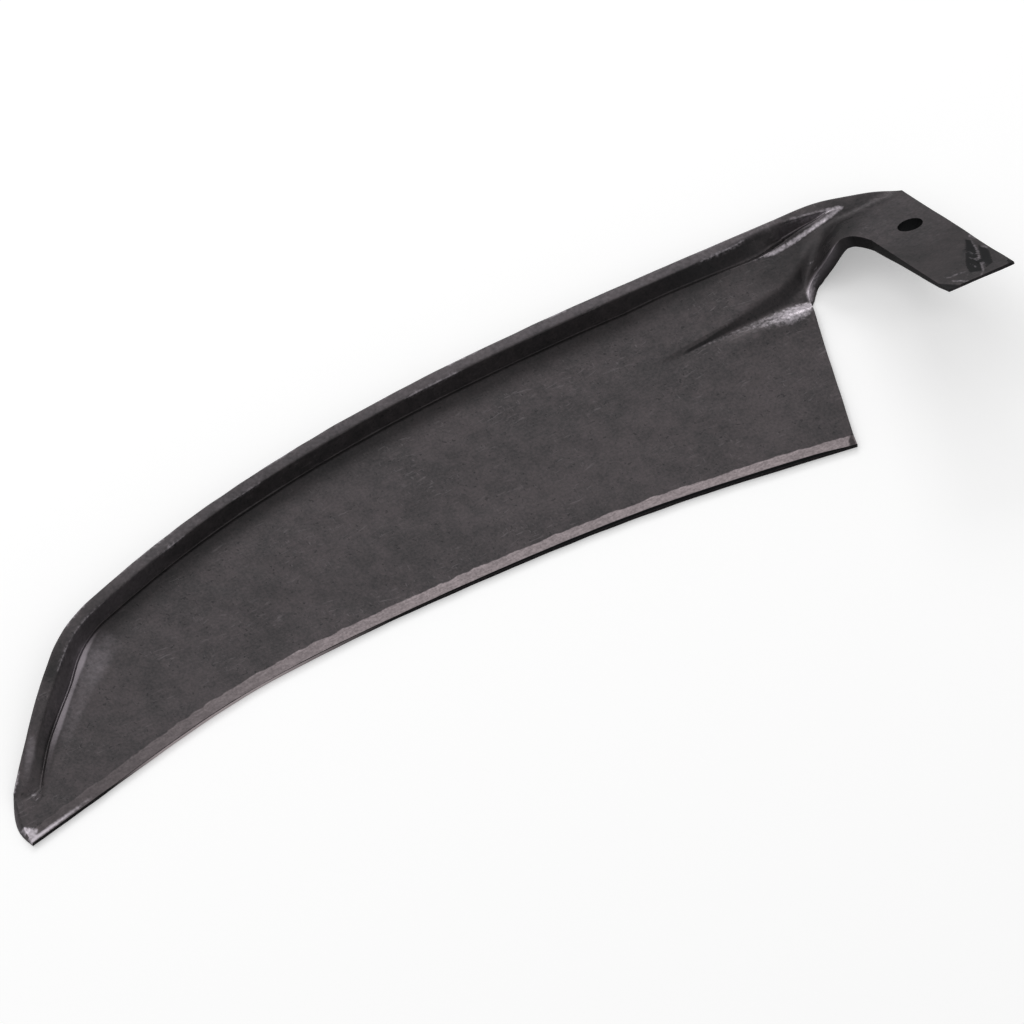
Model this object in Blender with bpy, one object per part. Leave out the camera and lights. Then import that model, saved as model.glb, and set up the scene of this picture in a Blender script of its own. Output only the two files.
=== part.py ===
"""A short, wide scythe blade, forged from one bar of steel.

The blade is a flat web with a ground bevel along its cutting edge and a raised chine, the stiffening rim,
along its back. A groove runs along the foot of the chine. At the heel the web is creased and folded up
into a twisted neck, where the groove runs out in a point, and the neck turns square into a flat tang,
pitched up, with one round hole for the ring or bolt that holds the snath.

Sizes are millimetres in the blade's own frame: the origin is the tip of the toe, +X runs along the
cutting edge to the heel, +Y goes across the web to the back and +Z is up. make_mesh turns them into
metres and puts the origin under the middle of the blade's box, on the surface that the blade lies on.
"""
import math

import bmesh
import bpy
import numpy as np

MM = 0.001

# Cutting edge, from the tip of the toe to the corner of the heel
EDGE_LINE = [(0, 0), (50, 9.7), (104, 19.4), (166, 22.8), (238, 20.7), (307, 15.1), (352, 8.5), (399, 0)]
EDGE_LAND = 2.0
BEVEL_WIDTH = 5.2

# The blunt end of the toe, from the tip up to where the chine begins
TOE_LINE = [(0, 0), (-1.4, 8), (1.2, 17.2), (5.6, 25.4)]
TOE_DRAFT = 2.2
TOE_FAN = 0.01
TOE_SHARES = (0.0, 0.14, 0.24, 0.32, 0.38, 0.44, 0.5, 0.56, 0.62, 0.68, 0.74, 0.8, 0.86, 0.93, 1.0)

# Back of the blade, along the top of the chine, from the toe to the heel
BACK_LINE = [
    (5.6, 25.4), (32.2, 54.7), (46, 68.4), (58.4, 79.2), (71.8, 86.9), (86.5, 91.9), (143.3, 105.9),
    (196.3, 113.4), (246.8, 116.9), (295.6, 117.3), (343.4, 116.2), (390.6, 114.1), (426, 112.3),
]

WEB_THICKNESS = 2.6

# The chine: its height grows from the toe. Its sections change along the back at these stations: the
# rim is narrow at the heel, where the wall spreads and the groove deepens
CHINE_HEIGHT = 11.0
CHINE_TOE_HEIGHT = 3.6
CHINE_GROWTH = 0.16
CHINE_STATIONS = (0.0, 0.062, 0.134, 0.178, 0.212, 0.78, 0.877, 0.948, 0.97, 0.985, 1.0)
RIM_WIDTH = (5.2, 4.6, 5.5, 5.2, 5.3, 5.3, 5.3, 4.7, 3.2, 2.8, 2.7)
WALL_RUN = (5.2, 4.3, 5.1, 3.6, 2.3, 2.3, 3.1, 5.2, 6.4, 5.4, 3.4)
GROOVE_RUN = (2.2, 2.2, 2.2, 1.6, 1.3, 1.3, 1.3, 1.4, 2.6, 2.9, 2.7)
GROOVE_DEPTH = (1.0, 1.0, 0.9, 0.7, 0.5, 0.5, 0.5, 0.7, 1.2, 1.7, 2.0)
CREST_RISE = (0.9, 0.9, 0.9, 0.6, 0.2, 0.2, 0.2, 0.2, 0.3, 0.4, 0.5)
SECTION_BLEND = 0.01
GROOVE_START = 0.025
BACK_CORNER = 2.6

# Crease that folds the heel's web up towards the neck. The plateau above it falls into it and the lip
# below it slopes back into it, and its valley turns up along the heel
NOTCH = (419.6, 70.7)
HEEL_BACK = (426.0, 112.3)
LINES_FROM = 0.6
LIP_LINE = [(249, 59), (331, 70), (361, 71.5), (387, 72), (401, 70.5), (410, 68.6), NOTCH]
CREASE_LINE = [(251, 67), (331, 75.6), (361, 76.4), (392, 76.9), (409, 76.6), (420.2, 74.3)]
TURN_LINE = [(253, 75.5), (331, 78.2), (361, 78), (392, 78.4), (406, 79), (414, 80.2), (421.4, 82.4)]
SHOULDER_LINE = [
    (255, 83.5), (331, 81.5), (361, 79.8), (392, 80.3), (402, 81.7), (408, 83.1), (414, 84.6), (422.1, 87),
]
VALLEY_LINE = [
    (340, 76.2), (361, 76.4), (392, 76.9), (404, 77), (410, 77.2), (416, 78.4), (423, 81.4), (433, 87.5),
    (440, 92),
]
CREASE_START = 350.0
PLATEAU_HEIGHT = 3.4
PLATEAU_FULL = 415.0
PLATEAU_RUN = (3.0, 7.0)
PLATEAU_RUN_FROM = 380.0
PLATEAU_RUN_TO = 412.0
LIP_RUN = 7.0
LIP_HEIGHT = 0.7
LIP_START = 375.0
LIP_FULL = 402.0

# Neck: its inner edge from the notch round to the tang, and its outer edge from the heel to the tang.
# It leans towards the tang as it climbs, and swells along its inner edge
NECK_INNER = [
    NOTCH, (420.5, 74.2), (423.4, 79), (427.2, 80.9), (431.3, 81), (435.6, 81.9), (440.3, 83.5), (444.7, 83),
    (447.3, 79.6), (449.4, 73),
]
NECK_LEAN_AT = (0.0, 0.08, 0.2, 0.5, 0.62, 0.8)
NECK_LEAN = (0.0, 32.0, 38.0, 36.0, 24.0, 0.0)
NECK_SWELL_AT = (0.0, 0.06, 0.15, 0.3, 0.5, 0.8)
NECK_SWELL = (0.0, 1.8, 3.4, 3.0, 0.9, 0.0)
TANG_SHOULDER = (479.6, 97.6)
NECK_OUTER = [HEEL_BACK, (438, 111.8), (449, 110), (460, 106.6), (470, 102.8), TANG_SHOULDER]
RAMP_Y = (70.7, 77, 83, 90, 97, 103, 112.3)
RAMP_FOOT_X = (419.6, 420.4, 421.8, 425.6, 428.4, 428.4, 426)
RAMP_TOP_X = (440, 440, 441, 444, 450, 457, 457)
GROOVE_END = 0.5
NECK_SPREAD_AT = (0.0, 0.1, 0.2, 0.3, 0.4, 0.5, 1.0)
NECK_CREASE = (0.087, 0.089, 0.092, 0.094, 0.097, 0.099, 1 / 9)
NECK_TURN = (0.281, 0.27, 0.26, 0.25, 0.24, 0.235, 2 / 9)
NECK_SHOULDER = (0.392, 0.4, 0.4, 0.4, 0.39, 0.38, 3 / 9)
NECK_CREST = (0.779, 0.785, 0.783, 0.78, 0.795, 0.808, 6 / 9)
NECK_FOOT = (0.855, 0.845, 0.83, 0.815, 0.818, 0.825, 7 / 9)
NECK_RIM = (0.934, 0.905, 0.873, 0.848, 0.84, 0.84, 8 / 9)

# Tang
TANG_PITCH = math.radians(30.0)
FOLD_HEIGHT = 11.0
FOLD_Y = 98.2
FOLD_RADIUS = 1.6
TANG_STOPS = (0.0, 0.25, 0.45, 0.86, 1.0)
TANG_THICKNESS = (5.6, 5.6, 5.3, 3.2, 1.3)
TANG_EDGE_THICKNESS = (5.6, 4.4, 3.6, 2.6, 1.3)
TANG_DRAWN_FROM = 0.86
TANG_END_INNER = (450.0, 12.6)
TANG_END_OUTER = (480.8, 10.4)
HOLE_CENTRE = (467.0, 70.6)
HOLE_DIAMETER = 11.0
HOLE_SIDES = 32
CUTTER_LENGTH = 30.0

# Columns of the net, from the cutting edge to the back
COLUMNS = 15
EDGE, BEVEL, WEB_A, WEB_B, WEB_C, LIP, CREASE, TURN, SHOULDER, BACK_A, BACK_B, CREST = range(12)
FOOT, RIM_INNER, RIM_OUTER = range(12, COLUMNS)

# Stations of the net: fractions of the blade's length, of the neck and of the tang
BLADE_STATIONS = np.concatenate([
    np.linspace(0.0, TOE_FAN, 4)[:-1],
    np.linspace(TOE_FAN, 0.25, 17)[:-1],
    np.linspace(0.25, 0.8, 23)[:-1],
    np.linspace(0.8, 0.9, 9)[:-1],
    np.linspace(0.9, 1.0, 19),
])
NECK_STATIONS = np.linspace(0.0, 1.0, 15)[1:]
TANG_STATIONS = np.concatenate([
    np.linspace(0.0, TANG_DRAWN_FROM, 8)[1:], np.linspace(TANG_DRAWN_FROM, 1.0, 4)[1:],
])

STEEL_COLOUR = (0.075, 0.066, 0.068, 1.0)
STEEL_ROUGHNESS = 0.42
STEEL_METALLIC = 0.75


def ease(value):
    """A smooth step from 0 to 1 as value goes from 0 to 1."""
    value = np.clip(value, 0.0, 1.0)
    return value * value * (3.0 - 2.0 * value)


def mix(first, second, share):
    """The value that lies share of the way from first to second."""
    return first + (second - first) * share


def smooth_max(first, second, radius):
    """The larger of two heights, rounded where they meet."""
    near = np.clip(0.5 + 0.5 * (first - second) / radius, 0.0, 1.0)
    return mix(second, first, near) + radius * near * (1.0 - near) * 0.5


def spline(points, at):
    """Points of a natural cubic spline, at fractions of its length, with its unit tangents."""
    points = np.array(points, float)
    knots = np.concatenate([[0.0], np.cumsum(np.linalg.norm(np.diff(points, axis=0), axis=1))])
    spans = np.diff(knots)
    count = len(points)
    matrix = np.eye(count)
    right = np.zeros_like(points)
    for i in range(1, count - 1):
        matrix[i, i - 1:i + 2] = spans[i - 1], 2.0 * (spans[i - 1] + spans[i]), spans[i]
        right[i] = 6.0 * ((points[i + 1] - points[i]) / spans[i] - (points[i] - points[i - 1]) / spans[i - 1])
    bend = np.linalg.solve(matrix, right)

    def place(s):
        """The spline's points at the lengths s along its chords."""
        i = np.clip(np.searchsorted(knots, s, side="right") - 1, 0, count - 2)
        h = spans[i][:, None]
        a = (knots[i + 1] - s)[:, None] / h
        b = 1.0 - a
        curve = ((a ** 3 - a) * bend[i] + (b ** 3 - b) * bend[i + 1]) * h ** 2 / 6.0
        return a * points[i] + b * points[i + 1] + curve

    fine = np.linspace(0.0, knots[-1], 2001)
    walk = np.linalg.norm(np.diff(place(fine), axis=0), axis=1)
    length = np.concatenate([[0.0], np.cumsum(walk)])
    s = np.interp(np.asarray(at) * length[-1], length, fine)
    step = knots[-1] * 1e-4
    tangent = place(np.minimum(s + step, knots[-1])) - place(np.maximum(s - step, 0.0))
    return place(s), tangent / np.linalg.norm(tangent, axis=1)[:, None]


def left_of(tangent):
    """The unit normals to the left of unit tangents."""
    return np.stack([-tangent[:, 1], tangent[:, 0]], axis=1)


def distance_to_line(x, y, line):
    """Distance from points to a line of straight stretches, positive on its left."""
    best = np.full(np.shape(x), np.inf)
    for (ax, ay), (bx, by) in zip(line, line[1:]):
        along_x, along_y = bx - ax, by - ay
        share = ((x - ax) * along_x + (y - ay) * along_y) / (along_x ** 2 + along_y ** 2)
        share = np.clip(share, 0.0, 1.0)
        off_x = x - ax - share * along_x
        off_y = y - ay - share * along_y
        side = np.where(along_x * off_y - along_y * off_x >= 0.0, 1.0, -1.0)
        away = side * np.hypot(off_x, off_y)
        best = np.where(np.abs(away) < np.abs(best), away, best)
    return best


def pressed_height(x, y):
    """How far the press has raised the web: the plateau above the crease, and the lip below it."""
    reach = np.clip((x - CREASE_START) / (PLATEAU_FULL - CREASE_START), 0.0, 1.0)
    run = mix(*PLATEAU_RUN, ease((x - PLATEAU_RUN_FROM) / (PLATEAU_RUN_TO - PLATEAU_RUN_FROM)))
    plateau = PLATEAU_HEIGHT * reach * (2.0 - reach) * ease(distance_to_line(x, y, VALLEY_LINE) / run)
    lip_at = (-2.0 * LIP_RUN, -LIP_RUN, 0.0, PLATEAU_RUN[0])
    lip = np.interp(distance_to_line(x, y, CREASE_LINE), lip_at, (0.0, LIP_HEIGHT, -LIP_HEIGHT, 0.0))
    return plateau + lip * ease((x - LIP_START) / (LIP_FULL - LIP_START))


def tang_height(y):
    """Top of the tang's plane, which meets the level of the chine's top in a rounded fold."""
    return smooth_max(FOLD_HEIGHT + (FOLD_Y - y) * math.tan(TANG_PITCH), FOLD_HEIGHT + 0.0 * y, FOLD_RADIUS)


def neck_share(x, y):
    """How far the neck has climbed from the web to the tang's plane, from 0 to 1."""
    foot, top = np.interp(y, RAMP_Y, RAMP_FOOT_X), np.interp(y, RAMP_Y, RAMP_TOP_X)
    share = np.clip((x - foot) / (top - foot), 0.0, 1.0)
    return mix(share, ease(share), 0.75)


def body_height(x, y):
    """Top of the web, and of the neck that climbs from it to the tang."""
    return mix(WEB_THICKNESS + pressed_height(x, y), tang_height(y), neck_share(x, y))


def along_chine(at, sizes):
    """One of the chine's sizes along the blade, blended softly from station to station."""
    steps = np.array([-1.0, -0.33, 0.33, 1.0]) * SECTION_BLEND
    return np.mean([np.interp(at + step, CHINE_STATIONS, sizes) for step in steps], axis=0)


def blade_plan(at, draft):
    """Where each column of the blade's net lies, seen from above. The toe's end is drawn in by the draft."""
    edge, edge_way = spline(EDGE_LINE, at)
    back, back_way = spline(BACK_LINE, at)
    inward = -left_of(back_way)
    rim = along_chine(at, RIM_WIDTH)[:, None]
    wall = along_chine(at, WALL_RUN)[:, None]
    groove = along_chine(at, GROOVE_RUN)[:, None]
    plan = np.zeros((len(at), COLUMNS, 2))
    plan[:, EDGE] = edge
    plan[:, BEVEL] = edge + BEVEL_WIDTH * left_of(edge_way)
    plan[:, RIM_OUTER] = back
    plan[:, RIM_INNER] = back + rim * inward
    plan[:, FOOT] = back + (rim + wall) * inward
    plan[:, CREST] = back + (rim + wall + groove) * inward
    past = np.clip((at - LINES_FROM) / (1.0 - LINES_FROM), 0.0, 1.0)
    drawn = ease((at - LINES_FROM) / 0.1)[:, None]
    lines = {LIP: LIP_LINE, CREASE: CREASE_LINE, TURN: TURN_LINE, SHOULDER: SHOULDER_LINE}
    for column, line in lines.items():
        even = mix(plan[:, BEVEL], plan[:, CREST], (column - BEVEL) / (CREST - BEVEL))
        plan[:, column] = mix(even, spline(line, past)[0], drawn)
    for first, last in ((BEVEL, LIP), (SHOULDER, CREST)):
        for column in range(first + 1, last):
            plan[:, column] = mix(plan[:, first], plan[:, last], (column - first) / (last - first))
    toe, toe_way = spline(TOE_LINE, np.array(TOE_SHARES))
    toe -= draft * np.sin(math.pi * np.array(TOE_SHARES))[:, None] * left_of(toe_way)
    begun = np.clip(at / TOE_FAN, 0.0, 1.0)[:, None]
    for column in range(BEVEL, RIM_OUTER):
        plan[:, column] = mix(toe[column], plan[:, column], begun)
    return plan


def blade_heights(at, plan):
    """Heights of the top of the blade's net."""
    top = body_height(plan[..., 0], plan[..., 1])
    grooved = ease(at / GROOVE_START)
    top[:, EDGE] = EDGE_LAND
    top[:, CREST] += along_chine(at, CREST_RISE) * grooved
    top[:, FOOT] -= along_chine(at, GROOVE_DEPTH) * grooved
    chine = mix(CHINE_TOE_HEIGHT, CHINE_HEIGHT, np.sin(0.5 * math.pi * np.clip(at / CHINE_GROWTH, 0.0, 1.0)))
    top[:, RIM_INNER] = mix(WEB_THICKNESS, chine, ease(at / TOE_FAN))
    top[:, RIM_OUTER] = chine
    return top


def neck_plan(at):
    """Where each column of the neck's net lies, seen from above. It starts at the lip's column."""
    inner = spline(NECK_INNER, at)[0]
    outer = spline(NECK_OUTER, at)[0]
    crease, turn, shoulder, crest, foot, rim = (
        np.interp(at, NECK_SPREAD_AT, share)
        for share in (NECK_CREASE, NECK_TURN, NECK_SHOULDER, NECK_CREST, NECK_FOOT, NECK_RIM)
    )
    between = mix(shoulder, crest, 1 / 3), mix(shoulder, crest, 2 / 3)
    shares = [0.0 * at, crease, turn, shoulder, *between, crest, foot, rim, 0.0 * at + 1.0]
    return np.stack([mix(inner, outer, share[:, None]) for share in shares], axis=1)


def neck_heights(at, plan):
    """Heights of the top of the neck's net, with the groove running out in a point."""
    top_of_body = body_height(plan[..., 0], plan[..., 1])
    top = top_of_body.copy()
    chine_top = tang_height(plan[..., 1])
    left = np.clip(1.0 - at / GROOVE_END, 0.0, 1.0)
    for column in (FOOT, RIM_INNER, RIM_OUTER):
        own = column - LIP
        top[:, own] = chine_top[:, own]
    foot, crest = FOOT - LIP, CREST - LIP
    kept = ease(left * 3.0)
    top[:, foot] = mix(chine_top[:, foot], top_of_body[:, foot] - GROOVE_DEPTH[-1] * left, kept)
    top[:, crest] = mix(chine_top[:, crest], top_of_body[:, crest] + CREST_RISE[-1], kept)
    return top


def tang_plan(at):
    """Where each column of the tang's net lies, seen from above."""
    inner = mix(np.array(NECK_INNER[-1]), np.array(TANG_END_INNER), at[:, None])
    outer = mix(np.array(TANG_SHOULDER), np.array(TANG_END_OUTER), at[:, None])
    return np.stack([mix(inner, outer, share) for share in np.linspace(0.0, 1.0, COLUMNS - LIP)], axis=1)


def tang_thickness(at):
    """Thickness of the tang's columns, which is least along its two edges and drawn out thin at its end."""
    across = np.full((len(at), COLUMNS - LIP), 1.0) * np.interp(at, TANG_STOPS, TANG_THICKNESS)[:, None]
    across[:, 0] = across[:, -1] = np.interp(at, TANG_STOPS, TANG_EDGE_THICKNESS)
    return across


def stack_net(plan, heights):
    """Points of a net from its plan and its heights."""
    return np.concatenate([plan, heights[..., None]], axis=2)


def blade_sheets(at):
    """Top and bottom nets of the blade, from the toe to the heel."""
    plan = blade_plan(at, TOE_DRAFT)
    top = stack_net(plan, blade_heights(at, plan))
    plan = blade_plan(at, 0.0)
    under = np.zeros(top.shape[:2])
    pressed = pressed_height(plan[..., 0], plan[..., 1])
    under[:, TURN:CREST + 1] = np.maximum(pressed[:, TURN:CREST + 1], 0.0)
    bottom = stack_net(plan, under)
    inward = -left_of(spline(BACK_LINE, at)[1])
    corner = top[:, RIM_OUTER].copy()
    corner[:, 2] = np.minimum(BACK_CORNER, 0.5 * top[:, RIM_OUTER, 2])
    bottom[:, RIM_OUTER, :2] += corner[:, 2, None] * inward
    return top, bottom, corner


def neck_and_tang_sheets(heel_top, heel_bottom, heel_corner):
    """Top and bottom nets from the heel through the neck to the end of the tang."""
    neck = neck_plan(NECK_STATIONS)
    neck_top = stack_net(neck, neck_heights(NECK_STATIONS, neck))
    tang = tang_plan(TANG_STATIONS)
    tang_top = stack_net(tang, tang_height(tang[..., 1]))
    top = np.concatenate([neck_top, tang_top])
    turned = np.concatenate([ease(NECK_STATIONS / 0.8), np.ones(len(TANG_STATIONS))])
    inner_side = 1.0 - np.linspace(0.0, 1.0, top.shape[1])
    lean = np.zeros(top.shape[:2])
    lean[:len(neck)] = np.interp(NECK_STATIONS, NECK_LEAN_AT, np.radians(NECK_LEAN))[:, None] * inner_side
    pitch = np.tan(TANG_PITCH * turned)[:, None] * np.ones(top.shape[1])
    down = np.stack([np.tan(lean), -pitch, -np.ones(lean.shape)], axis=2)
    down /= np.linalg.norm(down, axis=2)[..., None]
    heel_thickness = heel_top[:, 2] - heel_bottom[:, 2]
    thickness = mix(heel_thickness[None, :], TANG_THICKNESS[0], ease(NECK_STATIONS / 0.62)[:, None])
    thickness += np.interp(NECK_STATIONS, NECK_SWELL_AT, NECK_SWELL)[:, None] * inner_side ** 2
    thickness = np.concatenate([thickness, tang_thickness(TANG_STATIONS)])
    bottom = top + down * thickness[..., None]
    bottom[..., 2] = np.maximum(bottom[..., 2], 0.0)
    heel_inset = heel_bottom[-1, :2] - heel_corner[:2]
    fading = (1.0 - turned)[:, None]
    bottom[:, -1, :2] += heel_inset * fading
    heel_share = (heel_top[-1, 2] - heel_corner[2]) / heel_thickness[-1]
    share = mix(heel_share, 0.5, turned)[:, None]
    corner = top[:, -1] + down[:, -1] * thickness[:, -1, None] * share
    return top, bottom, corner


def add_net(bm, net):
    """Adds the net's points to the mesh as rows of vertices."""
    return [[bm.verts.new(point * MM) for point in row] for row in net]


def add_sheet(bm, rows, flip):
    """Fills a net of vertices with faces."""
    for here, there in zip(rows, rows[1:]):
        for i in range(len(here) - 1):
            face = [here[i], there[i], there[i + 1], here[i + 1]]
            bm.faces.new(face[::-1] if flip else face)


def add_wall(bm, *lines):
    """Joins lines of vertices, one below the other, with faces."""
    for above, below in zip(lines, lines[1:]):
        for i in range(len(above) - 1):
            bm.faces.new([above[i], below[i], below[i + 1], above[i + 1]])


def make_mesh(name):
    """The closed mesh of the blade, in metres, and the shift from the blade's frame to the part's."""
    top, bottom, corner = blade_sheets(BLADE_STATIONS)
    far_top, far_bottom, far_corner = neck_and_tang_sheets(
        top[-1, LIP:], bottom[-1, LIP:], corner[-1]
    )
    bm = bmesh.new()
    top_rows, bottom_rows = add_net(bm, top), add_net(bm, bottom)
    corner_line = add_net(bm, corner[None])[0]
    far_top_rows = [top_rows[-1][LIP:]] + add_net(bm, far_top)
    far_bottom_rows = [bottom_rows[-1][LIP:]] + add_net(bm, far_bottom)
    far_corner_line = [corner_line[-1]] + add_net(bm, far_corner[None])[0]
    add_sheet(bm, top_rows, False)
    add_sheet(bm, bottom_rows, True)
    add_sheet(bm, far_top_rows, False)
    add_sheet(bm, far_bottom_rows, True)
    add_wall(bm, [row[EDGE] for row in top_rows], [row[EDGE] for row in bottom_rows])
    add_wall(bm, top_rows[-1][:LIP + 1], bottom_rows[-1][:LIP + 1])
    add_wall(bm, [row[0] for row in far_top_rows], [row[0] for row in far_bottom_rows])
    add_wall(
        bm,
        [row[-1] for row in top_rows] + [row[-1] for row in far_top_rows[1:]],
        corner_line + far_corner_line[1:],
        [row[-1] for row in bottom_rows] + [row[-1] for row in far_bottom_rows[1:]],
    )
    add_wall(bm, top_rows[0], bottom_rows[0][:-1] + [corner_line[0]])
    bm.faces.new([corner_line[0], bottom_rows[0][-1], bottom_rows[0][-2]])
    add_wall(bm, far_top_rows[-1], far_bottom_rows[-1][:-1] + [far_corner_line[-1]])
    bm.faces.new([far_corner_line[-1], far_bottom_rows[-1][-1], far_bottom_rows[-1][-2]])
    bmesh.ops.recalc_face_normals(bm, faces=bm.faces)
    points = np.array([vert.co for vert in bm.verts])
    low, high = points.min(axis=0), points.max(axis=0)
    shift = -np.array([(low[0] + high[0]) / 2, (low[1] + high[1]) / 2, low[2]])
    bmesh.ops.translate(bm, verts=bm.verts, vec=shift)
    mesh = bpy.data.meshes.new(name)
    bm.to_mesh(mesh)
    bm.free()
    mesh.shade_smooth()
    mesh.set_sharp_from_angle(angle=math.radians(25.0))
    return mesh, shift


def make_steel():
    """Blackened forged steel."""
    material = bpy.data.materials.new("blackened_steel")
    material.use_nodes = True
    shader = material.node_tree.nodes["Principled BSDF"]
    shader.inputs["Base Color"].default_value = STEEL_COLOUR
    shader.inputs["Roughness"].default_value = STEEL_ROUGHNESS
    shader.inputs["Metallic"].default_value = STEEL_METALLIC
    return material


def tang_point(x, y, shift):
    """A point of the tang's top, in metres in the part's frame."""
    return np.array([x, y, float(tang_height(np.array(y)))]) * MM + shift


def add_hole_cutter(shift):
    """The cylinder that punches the tang's hole, square to the tang."""
    radius = HOLE_DIAMETER / 2 * MM
    bm = bmesh.new()
    bmesh.ops.create_cone(
        bm, cap_ends=True, segments=HOLE_SIDES, radius1=radius, radius2=radius, depth=CUTTER_LENGTH * MM,
    )
    mesh = bpy.data.meshes.new("tang_hole_cutter")
    bm.to_mesh(mesh)
    bm.free()
    cutter = bpy.data.objects.new("tang_hole_cutter", mesh)
    bpy.context.collection.objects.link(cutter)
    cutter.location = tang_point(*HOLE_CENTRE, shift)
    cutter.rotation_euler = (-TANG_PITCH, 0.0, 0.0)
    cutter.hide_render = True
    cutter.display_type = "WIRE"
    return cutter


def main():
    """Builds the blade."""
    for old in list(bpy.data.objects):
        bpy.data.objects.remove(old)
    mesh, shift = make_mesh("scythe_blade")
    mesh.materials.append(make_steel())
    blade = bpy.data.objects.new("scythe_blade", mesh)
    bpy.context.collection.objects.link(blade)
    punch = blade.modifiers.new("tang_hole", "BOOLEAN")
    punch.operation = "DIFFERENCE"
    punch.solver = "EXACT"
    punch.object = add_hole_cutter(shift)
    print("shift", [round(float(v), 5) for v in shift])
    print("hole", [round(float(v), 5) for v in tang_point(*HOLE_CENTRE, shift)])
    print("tang_top_face", [round(float(v), 5) for v in tang_point(465.0, 40.0, shift)])


main()
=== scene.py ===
"""A forged steel scythe blade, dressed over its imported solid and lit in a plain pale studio.

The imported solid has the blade's form in few faces. Forging builds the same form again as one fine skin: a
row of closed loops of points, one loop for each station along the blade, the neck and the tang, with
rounded corners, hammered unevenness and worn arrises. Sizes are millimetres in the blade's own frame: the
origin is the tip of the toe, +X runs along the cutting edge to the heel, +Y goes across the web to the
back and +Z is up. The skin is moved into the frame's metres once, when its mesh is made.
"""
from __future__ import annotations

import logging
import math
from dataclasses import dataclass, field
from enum import Enum, IntEnum

import bmesh
import bpy
import numpy as np
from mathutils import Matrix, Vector

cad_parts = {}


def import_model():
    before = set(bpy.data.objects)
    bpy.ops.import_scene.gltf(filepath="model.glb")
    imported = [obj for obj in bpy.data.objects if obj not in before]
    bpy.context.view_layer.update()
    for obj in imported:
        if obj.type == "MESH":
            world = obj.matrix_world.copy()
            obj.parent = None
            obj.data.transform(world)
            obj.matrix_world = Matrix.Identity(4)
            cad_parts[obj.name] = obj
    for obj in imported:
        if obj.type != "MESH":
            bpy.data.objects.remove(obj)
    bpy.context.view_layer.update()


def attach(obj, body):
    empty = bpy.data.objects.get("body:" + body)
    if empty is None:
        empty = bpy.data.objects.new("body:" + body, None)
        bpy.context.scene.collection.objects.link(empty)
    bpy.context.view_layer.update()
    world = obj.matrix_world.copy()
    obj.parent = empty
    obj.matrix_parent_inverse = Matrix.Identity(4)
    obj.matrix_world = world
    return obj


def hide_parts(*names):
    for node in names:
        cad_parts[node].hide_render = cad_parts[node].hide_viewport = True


MM = 0.001
NODE = "scythe_blade"

SPLINE_STEPS = 2001
SPLINE_STEP = 1e-4
WAVES = 9
WAVE_WAYS = (1.0, 1.0, 0.5)
WAVE_RANGE = (0.6, 1.5)
WAVE_LEVEL = 4.0
TINY = 1e-9
MOST_OF_SIDE = 0.45
SPECULAR_LEVEL = 0.2
SPECULAR_TINT = (0.3, 0.3, 0.3, 1.0)

Pair = tuple[float, float]
Line = tuple[Pair, ...]
Triple = tuple[float, float, float]
Colour = tuple[float, float, float, float]
Sizes = tuple[float, ...]
Array = np.ndarray
Socket = bpy.types.NodeSocket

log = logging.getLogger("scythe_blade")


class Column(IntEnum):
    """Named lines of the form, from the cutting edge to the back."""

    EDGE = 0
    BEVEL = 1
    WEB_A = 2
    WEB_B = 3
    WEB_C = 4
    LIP = 5
    CREASE = 6
    TURN = 7
    SHOULDER = 8
    BACK_A = 9
    BACK_B = 10
    CREST = 11
    FOOT = 12
    RIM_INNER = 13
    RIM_OUTER = 14


class Mask(Enum):
    """Values that the skin carries from point to point for its finish: the distance from the edge, bare metal and
    rubbing that also carry painted highlights, and painted shade in two strengths.
    """

    GROUND = "from_edge"
    BARE = "bare"
    RUB = "rub"
    SOOT = "soot"
    SHADE = "shade"


def ease(value: Array) -> Array:
    """A smooth step from 0 to 1 as value goes from 0 to 1."""
    value = np.clip(value, 0.0, 1.0)
    return value * value * (3.0 - 2.0 * value)


def onset(value: Array, start: float, run: float) -> Array:
    """A smooth step from 0 at start to 1 a run further on, or a run back if it is below 0."""
    return ease((value - start) / run)


def mix(first: Array, second: Array, share: Array) -> Array:
    """The value that lies share of the way from first to second."""
    return first + (second - first) * share


def left_of(tangent: Array) -> Array:
    """The unit normals to the left of unit tangents, seen from above."""
    return np.stack([-tangent[:, 1], tangent[:, 0]], axis=1)


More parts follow.
